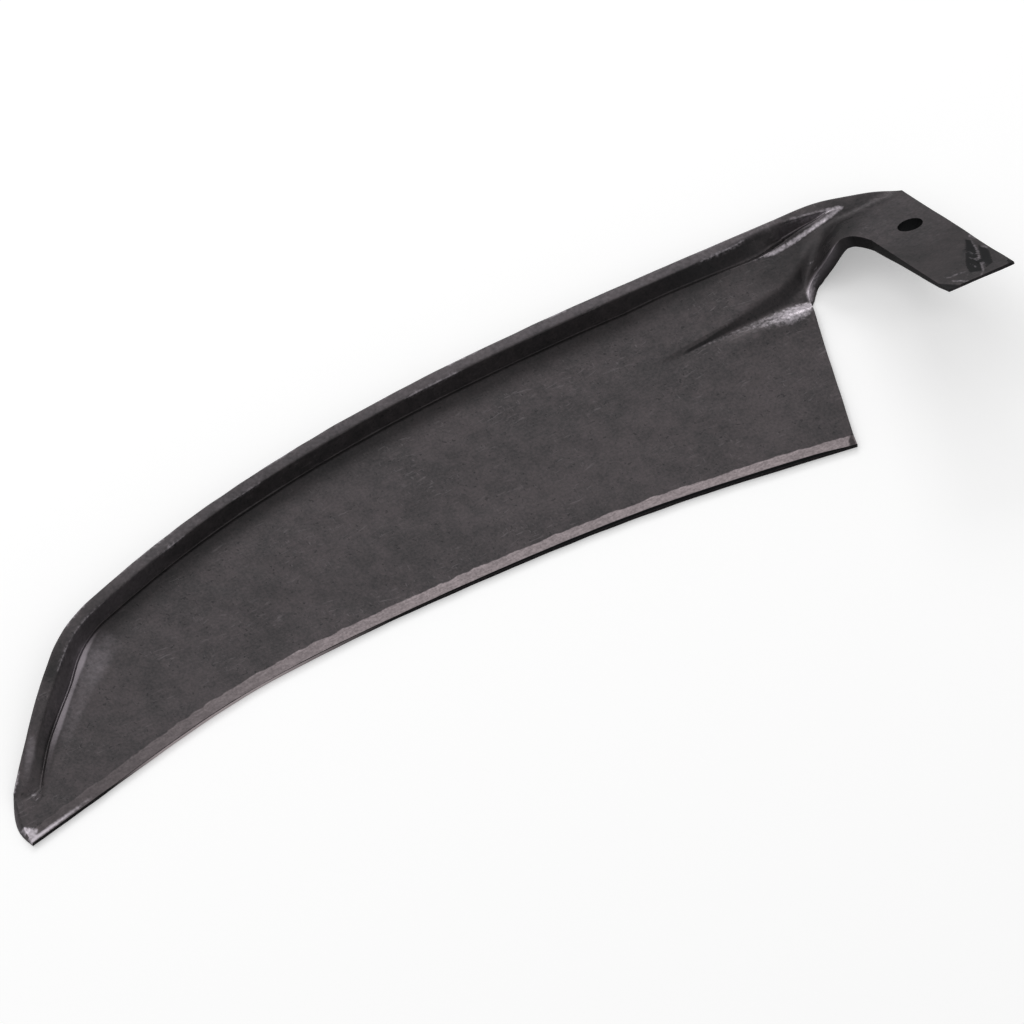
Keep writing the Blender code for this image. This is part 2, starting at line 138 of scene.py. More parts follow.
def spline(points: Line, at: Array) -> tuple[Array, Array]:
    """Reads a natural cubic spline.

    Args:
        points: The points that the spline runs through.
        at: Fractions of the spline's length.

    Returns:
        The points at those fractions, and the unit tangents there.
    """
    knot = np.array(points, float)
    stops = np.concatenate([[0.0], np.cumsum(np.linalg.norm(np.diff(knot, axis=0), axis=1))])
    spans = np.diff(stops)
    count = len(knot)
    matrix = np.eye(count)
    right = np.zeros_like(knot)
    for i in range(1, count - 1):
        matrix[i, i - 1:i + 2] = spans[i - 1], 2.0 * (spans[i - 1] + spans[i]), spans[i]
        right[i] = 6.0 * ((knot[i + 1] - knot[i]) / spans[i] - (knot[i] - knot[i - 1]) / spans[i - 1])
    bend = np.linalg.solve(matrix, right)

    def place(s: Array) -> Array:
        """Finds the spline's points.

        Args:
            s: Lengths along its chords.

        Returns:
            The points, one row each.
        """
        i = np.clip(np.searchsorted(stops, s, side="right") - 1, 0, count - 2)
        h = spans[i][:, None]
        a = (stops[i + 1] - s)[:, None] / h
        b = 1.0 - a
        curve = ((a ** 3 - a) * bend[i] + (b ** 3 - b) * bend[i + 1]) * h ** 2 / 6.0
        return a * knot[i] + b * knot[i + 1] + curve

    fine = np.linspace(0.0, stops[-1], SPLINE_STEPS)
    walk = np.linalg.norm(np.diff(place(fine), axis=0), axis=1)
    length = np.concatenate([[0.0], np.cumsum(walk)])
    s = np.interp(np.asarray(at) * length[-1], length, fine)
    step = stops[-1] * SPLINE_STEP
    tangent = place(np.minimum(s + step, stops[-1])) - place(np.maximum(s - step, 0.0))
    return place(s), tangent / np.linalg.norm(tangent, axis=1)[:, None]


def nearest(points: Array, start: Array, end: Array) -> tuple[Array, Array]:
    """Finds where a straight stretch passes nearest to points.

    Args:
        points: Points, along the last axis.
        start: The stretch's start.
        end: The stretch's end.

    Returns:
        Shares of the stretch at which it is nearest, and the ways from there to the points.
    """
    along = end - start
    share = np.clip((points - start) @ along / max(float(along @ along), TINY), 0.0, 1.0)
    return share, points - start - share[..., None] * along


def beside(x: Array, y: Array, line: Line | Array) -> Array:
    """Distance from points to a line of straight stretches, seen from above.

    Args:
        x: Positions along the blade.
        y: Positions across the blade.
        line: The line's points.

    Returns:
        Distances, positive on the line's left.
    """
    points, knots = np.stack([x, y], axis=-1), np.array(line, float)
    best = np.full(np.shape(x), np.inf)
    for start, end in zip(knots, knots[1:]):
        along_x, along_y = end - start
        off = nearest(points, start, end)[1]
        side = np.where(along_x * off[..., 1] - along_y * off[..., 0] >= 0.0, 1.0, -1.0)
        away = side * np.linalg.norm(off, axis=-1)
        best = np.where(np.abs(away) < np.abs(best), away, best)
    return best


def near_line(points: Array, line: Array) -> tuple[Array, Array]:
    """Distance in space from points to a line of straight stretches.

    Args:
        points: Points, one row each.
        line: The line's points, one row each.

    Returns:
        Distances, and how far along the line the nearest point lies, from 0 to 1.
    """
    best, where = np.full(len(points), np.inf), np.zeros(len(points))
    steps = len(line) - 1
    for i in range(steps):
        share, off = nearest(points, line[i], line[i + 1])
        away = np.linalg.norm(off, axis=1)
        closer = away < best
        best, where = np.where(closer, away, best), np.where(closer, (i + share) / steps, where)
    return best, where


def uneven(points: Array, wavelength: float, seed: int) -> Array:
    """A smooth unevenness in space, as a hammer and rolls leave it.

    Args:
        points: Points, one row each.
        wavelength: Distance between neighbouring highs.
        seed: Picks the pattern.

    Returns:
        Values of about -1 to 1.
    """
    draw = np.random.default_rng(seed)
    total = np.zeros(len(points))
    for _ in range(WAVES):
        way = draw.normal(size=3) * WAVE_WAYS
        way *= 2.0 * math.pi / wavelength / np.linalg.norm(way) * draw.uniform(*WAVE_RANGE)
        total += np.sin(points @ way + draw.uniform(0.0, 2.0 * math.pi))
    return total / WAVE_LEVEL


def rounded(before: Array, corner: Array, after: Array, radius: Array | float, count: int) -> Array:
    """Rounds one corner of every loop.

    Args:
        before: The point before the corner on each loop.
        corner: The corner on each loop.
        after: The point after the corner on each loop.
        radius: How far from the corner the rounding starts.
        count: Points along the rounding.

    Returns:
        The rounding's points, loops by points by three.
    """
    back, ahead = before - corner, after - corner
    back_length = np.linalg.norm(back, axis=1)
    ahead_length = np.linalg.norm(ahead, axis=1)
    reach = np.minimum(radius, MOST_OF_SIDE * np.minimum(back_length, ahead_length))[:, None]
    start = corner + back / np.maximum(back_length, TINY)[:, None] * reach
    end = corner + ahead / np.maximum(ahead_length, TINY)[:, None] * reach
    turn = np.linspace(0.0, 1.0, count)[None, :, None]
    return (
        start[:, None] * (1.0 - turn) ** 2
        + corner[:, None] * 2.0 * turn * (1.0 - turn)
        + end[:, None] * turn ** 2
    )


def between(first: Array, last: Array, count: int) -> Array:
    """Points evenly between two points of every loop, without its ends."""
    share = np.linspace(0.0, 1.0, count + 2)[1:-1][None, :, None]
    return first[:, None] * (1.0 - share) + last[:, None] * share


def raised(flat: Array, height: Array | float) -> Array:
    """Points seen from above, raised to a height."""
    return np.concatenate([flat, np.broadcast_to(height, flat.shape[:-1])[..., None]], axis=-1)


def finished(bm: bmesh.types.BMesh, name: str) -> bpy.types.Mesh:
    """Turns a BMesh into a mesh.

    Args:
        bm: The BMesh, which is freed.
        name: The mesh's name.

    Returns:
        The mesh.
    """
    mesh = bpy.data.meshes.new(name)
    bm.to_mesh(mesh)
    bm.free()
    return mesh


def add_object(name: str, data: bpy.types.ID) -> bpy.types.Object:
    """Adds an object to the scene.

    Args:
        name: The object's name.
        data: Its mesh, light or camera.

    Returns:
        The object.
    """
    added = bpy.data.objects.new(name, data)
    bpy.context.collection.objects.link(added)
    return added


def read_vectors(items: bpy.types.bpy_prop_collection, name: str) -> Array:
    """Reads a vector of every item.

    Args:
        items: Vertices, normals or the like.
        name: The vector's name.

    Returns:
        Items by three.
    """
    found = np.empty(len(items) * 3, np.float32)
    items.foreach_get(name, found)
    return found.reshape(-1, 3)


@dataclass(frozen=True)
class Trace:
    """A mark along a line on the blade's top, seen from above.

    Attributes:
        mask: The value that the mark raises.
        points: Place along the blade, place across it, half width and strength, at each point of the line.
        border: Half widths from the line at which the mark ends.
    """

    mask: Mask
    points: tuple[tuple[float, float, float, float], ...]
    border: float = 1.5

    def lay(self, x: Array, y: Array) -> Array:
        """Lays the mark.

        Args:
            x: Positions along the blade.
            y: Positions across the blade.

        Returns:
            The mark's strength at each place.
        """
        places, rows = np.stack([x, y], axis=-1), np.array(self.points)
        found = np.zeros(np.shape(x))
        for here, there in zip(rows, rows[1:]):
            share, off = nearest(places, here[:2], there[:2])
            width, strength = mix(here[2], there[2], share), mix(here[3], there[3], share)
            found = np.maximum(found, strength * ease(self.border - np.linalg.norm(off, axis=-1) / width))
        return found


@dataclass(frozen=True)
class Facet:
    """A flat with straight sides on the blade's top, seen from above.

    Attributes:
        mask: The value that the flat raises.
        corners: Its corners, counterclockwise.
        strength: How far it raises the value.
        soft: Width of its border.
        slope: How steeply it falls away from its first side.
    """

    mask: Mask
    corners: Line
    strength: float = 1.0
    soft: float = 0.6
    slope: float = 0.0

    def depth_inside(self, x: Array, y: Array) -> tuple[Array, Array]:
        """Measures how far inside the flat places lie.

        Args:
            x: Positions along the blade.
            y: Positions across the blade.

        Returns:
            Distances inward from the nearest side, and from the first side.
        """
        sides = []
        for (ax, ay), (bx, by) in zip(self.corners, self.corners[1:] + self.corners[:1]):
            length = math.hypot(bx - ax, by - ay)
            sides.append(((bx - ax) * (y - ay) - (by - ay) * (x - ax)) / length)
        return np.min(sides, axis=0), sides[0]

    def lay(self, x: Array, y: Array) -> Array:
        """Strength of the flat at places on the blade."""
        return self.strength * ease(self.depth_inside(x, y)[0] / self.soft + 0.5)

    def sink(self, x: Array, y: Array) -> Array:
        """How far the flat lies below the surface round it."""
        inside, fall = self.depth_inside(x, y)
        return self.slope * np.clip(fall, 0.0, None) * ease(inside / self.soft + 0.5)


@dataclass(frozen=True)
class Edge:
    """The cutting edge, with its ground bevel and the blunt land of a new blade."""

    line: Line = ((0, 0), (50, 9.7), (104, 19.4), (166, 22.8), (238, 20.7), (307, 15.1), (352, 8.5), (399, 0))
    land: float = 2.0
    bevel_width: float = 5.2


@dataclass(frozen=True)
class Toe:
    """The blunt end of the blade, up to where the rim begins."""

    line: Line = ((0, 0), (-1.4, 8), (1.2, 17.2), (5.6, 25.4))
    draft: float = 2.2
    fan: float = 0.01
    shares: Sizes = (
        0.0, 0.14, 0.24, 0.32, 0.38, 0.44, 0.5, 0.56, 0.62, 0.68, 0.74, 0.8, 0.86, 0.93, 1.0,
    )


@dataclass(frozen=True)
class Chine:
    """The raised rim along the back, with its wall and the groove at its foot."""

    line: Line = (
        (5.6, 25.4), (32.2, 54.7), (46, 68.4), (58.4, 79.2), (71.8, 86.9), (86.5, 91.9), (143.3, 105.9),
        (196.3, 113.4), (246.8, 116.9), (295.6, 117.3), (343.4, 116.2), (390.6, 114.1), (426, 112.3),
    )
    height: float = 11.0
    toe_height: float = 3.6
    growth: float = 0.16
    stations: Sizes = (0.0, 0.062, 0.134, 0.178, 0.212, 0.78, 0.877, 0.948, 0.97, 0.985, 1.0)
    rim_width: Sizes = (5.2, 4.6, 5.5, 5.2, 5.3, 5.3, 5.3, 4.7, 3.2, 2.8, 2.7)
    wall_run: Sizes = (5.2, 4.3, 5.1, 3.6, 2.3, 2.3, 3.1, 5.2, 6.4, 5.4, 3.4)
    groove_run: Sizes = (1.1, 1.1, 1.1, 1.1, 1.2, 1.3, 1.3, 1.4, 2.6, 2.9, 2.7)
    groove_depth: Sizes = (0.7, 0.7, 0.6, 0.4, 0.25, 0.25, 0.3, 0.7, 1.2, 1.7, 2.0)
    crest_rise: Sizes = (0.9, 0.9, 0.9, 0.6, 0.2, 0.2, 0.2, 0.2, 0.3, 0.4, 0.5)
    crest_reach: Sizes = (10.0, 10.0, 9.0, 7.0, 4.0, 4.0, 4.0, 4.0, 4.0, 5.0, 5.0)
    crest_soft: Sizes = (1.4, 1.4, 1.6, 1.4, 0.9, 0.9, 0.9, 1.2, 1.6, 1.9, 2.0)
    blend: float = 0.01
    groove_start: float = 0.025
    back_corner: float = 2.6

    def along(self, sizes: Sizes, at: Array) -> Array:
        """One of the sizes along the blade, blended softly from station to station."""
        steps = np.array([-1.0, -0.33, 0.33, 1.0]) * self.blend
        return np.mean([np.interp(at + step, self.stations, sizes) for step in steps], axis=0)

    def top(self, at: Array) -> Array:
        """Height of the rim's top."""
        grown = np.sin(0.5 * math.pi * np.clip(at / self.growth, 0.0, 1.0))
        return mix(self.toe_height, self.height, grown)


@dataclass(frozen=True)
class Press:
    """The fold at the heel: the raised plateau, the valley beside it and the lip on the web's side."""

    notch: Pair = (419.6, 70.7)
    lines_from: float = 0.6
    lines_run: float = 0.1
    lip_line: Line = ((249, 59), (331, 70), (361, 71.5), (387, 72), (401, 70.5), (410, 68.6), (419.6, 70.7))
    crease_line: Line = ((251, 67), (331, 75.6), (361, 76.4), (392, 76.9), (409, 76.6), (420.2, 74.3))
    turn_line: Line = ((253, 75.5), (331, 78.2), (361, 78), (392, 78.4), (406, 79), (414, 80.2), (421.4, 82.4))
    shoulder_line: Line = (
        (255, 83.5), (331, 81.5), (361, 79.8), (392, 80.3), (402, 81.7), (408, 83.1), (414, 84.6), (422.1, 87),
    )
    valley_line: Line = (
        (340, 76.2), (361, 76.4), (392, 76.9), (404, 77), (410, 77.2), (416, 78.4), (423, 81.4), (433, 87.5),
        (440, 92),
    )
    start: float = 350.0
    full: float = 415.0
    height: float = 3.4
    run: Pair = (3.0, 7.0)
    run_from: float = 380.0
    run_to: float = 412.0
    lip_run: float = 7.0
    lip_height: float = 0.8
    lip_start: float = 372.0
    lip_full: float = 402.0
    valley_share: float = 0.9
    back_run: float = 3.0

    def plateau(self, x: Array, y: Array) -> Array:
        """Measures how far the press has raised the web above the crease.

        Args:
            x: Positions along the blade.
            y: Positions across the blade.

        Returns:
            Heights above the flat web.
        """
        reach = np.clip((x - self.start) / (self.full - self.start), 0.0, 1.0)
        run = mix(*self.run, onset(x, self.run_from, self.run_to - self.run_from))
        return self.height * reach * (2.0 - reach) * ease(beside(x, y, self.valley_line) / run)

    def lip(self, x: Array, y: Array) -> Array:
        """Shapes the lip on the web's side of the crease, and the valley behind it.

        Args:
            x: Positions along the blade.
            y: Positions across the blade.

        Returns:
            Heights above the plateau, below 0 in the valley.
        """
        away = beside(x, y, self.crease_line)
        drop = ease(1.0 - np.abs(away) / (self.valley_share * self.lip_run))
        swell = ease(1.0 - np.abs(away + self.lip_run) / self.lip_run)
        form = self.valley_share * swell - np.where(away > 0.0, ease(1.0 - away / self.back_run), drop)
        return self.lip_height * form * onset(x, self.lip_start, self.lip_full - self.lip_start)


@dataclass(frozen=True)
class Tang:
    """The flat tongue that the handle holds, pitched up from the web, with its hole."""

    shoulder: Pair = (479.6, 97.6)
    end_inner: Pair = (450.0, 12.6)
    end_outer: Pair = (480.8, 10.4)
    pitch: float = math.radians(30.0)
    fold_height: float = 11.0
    fold_y: float = 98.2
    fold_radius: float = 1.6
    stops: Sizes = (0.0, 0.25, 0.45, 0.86, 1.0)
    thickness: Sizes = (5.6, 5.6, 5.3, 3.2, 1.3)
    edge_thickness: Sizes = (5.6, 4.4, 3.6, 2.6, 1.3)
    drawn_from: float = 0.86
    hole: Pair = (467.0, 70.6)
    hole_diameter: float = 11.0
    hole_sides: int = 64
    # Hammered flats at the tang's end, darkened with painted black shade
    flats: tuple[Facet, ...] = (
        Facet(
            Mask.SOOT, ((476.4, 41.8), (465.6, 23.8), (463.6, 17.5), (468.0, 14.6), (470.8, 21.2), (474.4, 28.8),
                        (477.7, 39.1)), 0.9, 0.5, 0.05,
        ),
        Facet(
            Mask.SOOT, ((478.0, 34.5), (471.6, 20.8), (470.4, 15.5), (474.5, 16.8), (478.6, 27.0)), 0.9, 0.5, 0.05,
        ),
        Facet(Mask.SOOT, ((449.0, 21.5), (449.0, 8.0), (459.0, 8.0)), 0.85, 0.7, 0.12),
        Facet(Mask.SOOT, ((477.8, 9.0), (484.0, 9.0), (482.6, 15.0), (479.0, 13.2)), 0.7, 0.5, 0.0),
    )

    def top(self, y: Array) -> Array:
        """Measures the tang's plane, which meets the level of the rim's top in a rounded fold.

        Args:
            y: Positions across the blade.

        Returns:
            Its heights.
        """
        rise = self.fold_height + (self.fold_y - y) * math.tan(self.pitch)
        near = np.clip(0.5 + 0.5 * (rise - self.fold_height) / self.fold_radius, 0.0, 1.0)
        return mix(self.fold_height, rise, near) + self.fold_radius * near * (1.0 - near) * 0.5

    def depth(self, at: Array, count: int) -> Array:
        """Thickness of the tang, which is least along its two edges and drawn out thin at its end.

        Args:
            at: Fractions of the tang's length.
            count: Lines across the tang.

        Returns:
            Stations by lines.
        """
        found = np.repeat(np.interp(at, self.stops, self.thickness)[:, None], count, axis=1)
        found[:, 0] = found[:, -1] = np.interp(at, self.stops, self.edge_thickness)
        return found


@dataclass(frozen=True)
class Neck:
    """The twisted part that climbs from the heel to the tang, where the groove runs out in a point."""

    inner: Line = (
        (419.6, 70.7), (420.5, 74.2), (423.4, 79), (427.2, 80.9), (431.3, 81), (435.6, 81.9), (440.3, 83.5),
        (444.7, 83), (447.3, 79.6), (449.4, 73),
    )
    outer: Line = ((426, 112.3), (438, 111.8), (449, 110), (460, 106.6), (470, 102.8), (479.6, 97.6))
    ramp_y: Sizes = (70.7, 77, 83, 90, 97, 103, 112.3)
    ramp_foot: Sizes = (419.6, 420.4, 421.8, 425.6, 428.4, 428.4, 426)
    ramp_top: Sizes = (440, 440, 441, 444, 450, 457, 457)
    lean_at: Sizes = (0.0, 0.08, 0.2, 0.5, 0.62, 0.8)
    lean: Sizes = (0.0, 32.0, 38.0, 36.0, 24.0, 0.0)
    swell_at: Sizes = (0.0, 0.06, 0.15, 0.3, 0.5, 0.8)
    swell: Sizes = (0.0, 1.8, 3.4, 3.0, 0.9, 0.0)
    groove_end: float = 0.5
    groove_left: float = 3.0
    turned_by: float = 0.8
    thick_by: float = 0.62
    steady: float = 0.75
    stops: Sizes = (0.0, 0.1, 0.2, 0.3, 0.4, 0.5, 1.0)
    crease: Sizes = (0.087, 0.089, 0.092, 0.094, 0.097, 0.099, 1 / 9)
    turn: Sizes = (0.281, 0.27, 0.26, 0.25, 0.24, 0.235, 2 / 9)
    shoulder: Sizes = (0.392, 0.4, 0.4, 0.4, 0.39, 0.38, 3 / 9)
    crest: Sizes = (0.779, 0.785, 0.783, 0.78, 0.795, 0.808, 6 / 9)
    foot: Sizes = (0.855, 0.845, 0.83, 0.815, 0.818, 0.825, 7 / 9)
    rim: Sizes = (0.934, 0.905, 0.873, 0.848, 0.84, 0.84, 8 / 9)

    def climb(self, x: Array, y: Array) -> Array:
        """Measures how far the neck has climbed from the web to the tang's plane.

        Args:
            x: Positions along the blade.
            y: Positions across the blade.

        Returns:
            Shares from 0 to 1.
        """
        foot, top = np.interp(y, self.ramp_y, self.ramp_foot), np.interp(y, self.ramp_y, self.ramp_top)
        share = np.clip((x - foot) / (top - foot), 0.0, 1.0)
        return mix(share, ease(share), self.steady)

    def plan(self, at: Array) -> Array:
        """Lays the lines from the lip to the back along the neck, seen from above.

        Args:
            at: Fractions of the neck's length.

        Returns:
            Stations by lines by two.
        """
        inner, outer = spline(self.inner, at)[0], spline(self.outer, at)[0]
        named = (self.crease, self.turn, self.shoulder, self.crest, self.foot, self.rim)
        crease, turn, shoulder, crest, foot, rim = (np.interp(at, self.stops, share) for share in named)
        back = mix(shoulder, crest, 1 / 3), mix(shoulder, crest, 2 / 3)
        shares = (0.0 * at, crease, turn, shoulder, *back, crest, foot, rim, 0.0 * at + 1.0)
        return np.stack([mix(inner, outer, share[:, None]) for share in shares], axis=1)

    def down(self, at: Array, pitch: float, count: int) -> Array:
        """The way from the neck's top to its underside, which leans towards the tang along the inner edge.

        Args:
            at: Fractions of the neck's length.
            pitch: The tang's pitch.
            count: Lines across the neck.

        Returns:
            Stations by lines by three.
        """
        inner_side = 1.0 - np.linspace(0.0, 1.0, count)
        lean = np.interp(at, self.lean_at, np.radians(self.lean))[:, None] * inner_side
        fall = np.tan(pitch * ease(at / self.turned_by))[:, None] * np.ones(count)
        way = np.stack([np.tan(lean), -fall, -np.ones(lean.shape)], axis=2)
        return way / np.linalg.norm(way, axis=2)[..., None]

    def swelling(self, at: Array, count: int) -> Array:
        """How much thicker the neck is than its neighbours, most of it along the inner edge."""
        inner_side = 1.0 - np.linspace(0.0, 1.0, count)
        return np.interp(at, self.swell_at, self.swell)[:, None] * inner_side ** 2


@dataclass
class Loops:
    """Closed loops of points along the blade, all laid out alike.

    Attributes:
        points: Loops by points by three, from the edge over the top to the back and home underneath.
        under: Place in a loop where its underside begins.
        lip_top: Place of the lip's line on the top.
        lip_bottom: Place of the lip's line on the underside.
    """

    points: Array
    under: int
    lip_top: int = 0
    lip_bottom: int = 0


@dataclass
class Forging:
    """The whole blade as one skin of closed loops, from the toe through the neck to the tang's end."""

    edge: Edge = field(default_factory=Edge)
    toe: Toe = field(default_factory=Toe)
    chine: Chine = field(default_factory=Chine)
    press: Press = field(default_factory=Press)
    tang: Tang = field(default_factory=Tang)
    neck: Neck = field(default_factory=Neck)
    web_thickness: float = 2.6
    shift: Triple = (-239.71, -58.7, 0.0)
    fan_steps: int = 8
    blade_steps: int = 250
    heel_steps: int = 90
    neck_steps: int = 56
    tang_steps: int = 84
    web_steps: tuple[int, ...] = (4, 4, 4, 5, 9, 6, 8, 6, 5, 8)
    arc_steps: int = 4
    edge_radius: float = 0.15
    bevel_radius: float = 0.5
    side_radius: float = 0.7
    rim_radii: Sizes = (1.1, 0.5, 0.6, 0.9, 0.9)
    rim_fills: tuple[int, ...] = (0, 0, 3, 3, 2, 0)
    heel_from: float = 0.8
    tang_even_to: float = 0.6
    weld: float = 1e-5
    hammer_depth: float = 0.1
    hammer_waves: tuple[tuple[float, float, int], ...] = ((1.0, 46.0, 3), (0.7, 17.0, 8))

    def body(self, x: Array, y: Array) -> Array:
        """Height of the web's top, and of the neck that climbs from it to the tang."""
        web = self.web_thickness + self.press.plateau(x, y) + self.press.lip(x, y)
        return mix(web, self.tang.top(y), self.neck.climb(x, y))

    def blade_stations(self) -> Array:
        """Spaces the loops of the blade, which lie closest at the toe and at the heel.

        Returns:
            Fractions of the blade's length.
        """
        return np.concatenate([
            np.linspace(0.0, self.toe.fan, self.fan_steps)[:-1],
            np.linspace(self.toe.fan, self.heel_from, self.blade_steps)[:-1],
            np.linspace(self.heel_from, 1.0, self.heel_steps),
        ])

    def tang_stations(self) -> Array:
        """Spaces the loops of the tang, in three equal counts.

        Returns:
            Fractions of the tang's length.
        """
        stops = (0.0, self.tang_even_to, self.tang.drawn_from, 1.0)
        parts = [np.linspace(first, last, self.tang_steps // 3)[:-1] for first, last in zip(stops, stops[1:])]
        return np.concatenate([*parts, [1.0]])[1:]

    def blade_plan(self, at: Array, draft: float) -> Array:
        """Where each named line lies along the blade, seen from above.

        Args:
            at: Fractions of the blade's length.
            draft: How far the toe's end is drawn in.

        Returns:
            Stations by lines by two.
        """
        edge, edge_way = spline(self.edge.line, at)
        back, back_way = spline(self.chine.line, at)
        inward = -left_of(back_way)
        widths = (self.chine.rim_width, self.chine.wall_run, self.chine.groove_run)
        rim, wall, groove = (self.chine.along(width, at)[:, None] for width in widths)
        plan = np.zeros((len(at), len(Column), 2))
        plan[:, Column.EDGE] = edge
        plan[:, Column.BEVEL] = edge + self.edge.bevel_width * left_of(edge_way)
        plan[:, Column.RIM_OUTER] = back
        plan[:, Column.RIM_INNER] = back + rim * inward
        plan[:, Column.FOOT] = back + (rim + wall) * inward
        plan[:, Column.CREST] = back + (rim + wall + groove) * inward
        past = np.clip((at - self.press.lines_from) / (1.0 - self.press.lines_from), 0.0, 1.0)
        drawn = onset(at, self.press.lines_from, self.press.lines_run)[:, None]
        lines = {
            Column.LIP: self.press.lip_line,
            Column.CREASE: self.press.crease_line,
            Column.TURN: self.press.turn_line,
            Column.SHOULDER: self.press.shoulder_line,
        }
        span = Column.CREST - Column.BEVEL
        for column, line in lines.items():
            even = mix(plan[:, Column.BEVEL], plan[:, Column.CREST], (column - Column.BEVEL) / span)
            plan[:, column] = mix(even, spline(line, past)[0], drawn)
        for first, last in ((Column.BEVEL, Column.LIP), (Column.SHOULDER, Column.CREST)):
            for column in range(first + 1, last):
                plan[:, column] = mix(plan[:, first], plan[:, last], (column - first) / (last - first))
        shares = np.array(self.toe.shares)
        end, end_way = spline(self.toe.line, shares)
        end -= draft * np.sin(math.pi * shares)[:, None] * left_of(end_way)
        begun = np.clip(at / self.toe.fan, 0.0, 1.0)[:, None]
        for column in range(Column.BEVEL, Column.RIM_OUTER):
            plan[:, column] = mix(end[column], plan[:, column], begun)
        return plan

    def fine_columns(self, first: Column) -> Array:
        """Spaces the skin's points across the web.

        Args:
            first: The named line from which they run to the crest.

        Returns:
            Positions, as named lines and fractions between them.
        """
        found = []
        for gap, count in enumerate(self.web_steps):
            start = Column.BEVEL + gap
            if start >= first:
                found.extend(start + np.arange(count) / count)
        return np.array(found[1:])

    @staticmethod
    def under_columns(last: Column) -> Array:
        """Positions of the underside's points across the web, from the rim to a named line."""
        return np.concatenate([[Column.RIM_INNER, Column.FOOT], np.arange(Column.CREST, last, -0.5)])

    @staticmethod
    def across(net: Array, at: Array) -> Array:
        """Reads a net of named lines at positions between them.

        Args:
            net: Stations by lines by two or three.
            at: Positions, as named lines and fractions between them.

        Returns:
            Stations by positions by two or three.
        """
        low = np.minimum(np.floor(at).astype(int), net.shape[1] - 2)
        share = (at - low)[None, :, None]
        return net[:, low] * (1.0 - share) + net[:, low + 1] * share

    def lift(self, flat: Array, crest: Array, reach: Array) -> Array:
        """Raises points across the web to the body's height, swelling up to the crest beside the groove.

        Args:
            flat: Loops by points by two.
            crest: The crest's point on each loop, in space.
            reach: How far the swell reaches from the crest.

        Returns:
            Loops by points by three.
        """
        level = self.body(flat[..., 0], flat[..., 1])
        rise = crest[:, 2] - self.body(crest[:, 0], crest[:, 1])
        away = np.linalg.norm(flat - crest[:, None, :2], axis=2) / reach[:, None]
        level = level + rise[:, None] * np.clip(1.0 - away, 0.0, 1.0) ** 2
        return raised(flat, level)

    def rim_part(self, before: Array, corners: list[Array], after: Array, soft: Array) -> Array:
        """Makes the part of every loop from the crest over the rim, down its outer wall and under it.

        Args:
            before: The point before the crest.
            corners: The crest, the groove's foot, the rim's arrises and the two lower corners of the outer wall.
            after: The underside's next point.
            soft: Radius of the crest's rounding.

        Returns:
            Loops by points by three.
        """
        line, parts = [before, *corners, after], []
        for i, (radius, fill) in enumerate(zip((soft, *self.rim_radii), self.rim_fills)):
            arc = rounded(*line[i:i + 3], radius, self.arc_steps + (i == 0))
            if fill:
                parts.append(between(parts[-1][:, -1], arc[:, 0], fill))
            parts.append(arc)
        return np.concatenate(parts, axis=1)

    def blade_loops(self, at: Array) -> tuple[Loops, Array]:
        """Closed loops of points round the blade, from the toe to the heel.

        Args:
            at: Fractions of the blade's length.

        Returns:
            The loops, and the named points at the heel with their thickness as a fourth number.
        """
        plan = self.blade_plan(at, self.toe.draft)
        under_plan = self.blade_plan(at, 0.0)
        grooved = ease(at / self.chine.groove_start)
        rise = self.chine.along(self.chine.crest_rise, at) * grooved
        depth = self.chine.along(self.chine.groove_depth, at) * grooved
        chine_top = self.chine.top(at)

        def level(column: Column) -> Array:
            """The body's height along a named line."""
            return self.body(plan[:, column, 0], plan[:, column, 1])

        edge_top = raised(plan[:, Column.EDGE], self.edge.land)
        bevel = raised(plan[:, Column.BEVEL], self.web_thickness)
        crest = raised(plan[:, Column.CREST], level(Column.CREST) + rise)
        foot = raised(plan[:, Column.FOOT], level(Column.FOOT) - depth)
        inner = raised(plan[:, Column.RIM_INNER], mix(self.web_thickness, chine_top, ease(at / self.toe.fan)))
        outer = raised(plan[:, Column.RIM_OUTER], chine_top)
        reach = self.chine.along(self.chine.crest_reach, at)
        web = self.lift(self.across(plan, self.fine_columns(Column.BEVEL)), crest, reach)
        corner = outer.copy()
        corner[:, 2] = np.minimum(self.chine.back_corner, 0.5 * outer[:, 2])
        inward = -left_of(spline(self.chine.line, at)[1])
        below = raised(under_plan[:, Column.RIM_OUTER] + corner[:, 2:] * inward, 0.0)
        bottom_at = self.under_columns(Column.EDGE)
        flat = self.across(under_plan, bottom_at)
        hollow = self.press.plateau(flat[..., 0], flat[..., 1]) * (bottom_at <= Column.CREST)
        bottom = raised(flat, hollow)
        edge_bottom = raised(under_plan[:, Column.EDGE], 0.0)
        soft = self.chine.along(self.chine.crest_soft, at)
        start = [
            rounded(edge_bottom, edge_top, bevel, self.edge_radius, 3),
            between(edge_top, bevel, 3),
            rounded(edge_top, bevel, web[:, 0], self.bevel_radius, 3),
        ]
        rim = self.rim_part(web[:, -1], [crest, foot, inner, outer, corner, below], bottom[:, 0], soft)
        end = [bottom, rounded(bottom[:, -1], edge_bottom, edge_top, self.edge_radius, 3)]
        points = np.concatenate([*start, web, rim, *end], axis=1)
        before_web = sum(part.shape[1] for part in start)
        lip_top = before_web + sum(self.web_steps[:Column.LIP - Column.BEVEL]) - 1
        under = before_web + web.shape[1] + rim.shape[1]
        loops = Loops(points, under, lip_top, under + int(np.flatnonzero(bottom_at == Column.LIP)[0]))
        heel = np.concatenate([plan[-1, Column.LIP:], np.zeros((len(Column) - Column.LIP, 2))], axis=1)
        heel[:, 2] = self.body(heel[:, 0], heel[:, 1])
        heel[-3:, 2] = foot[-1, 2], inner[-1, 2], outer[-1, 2]
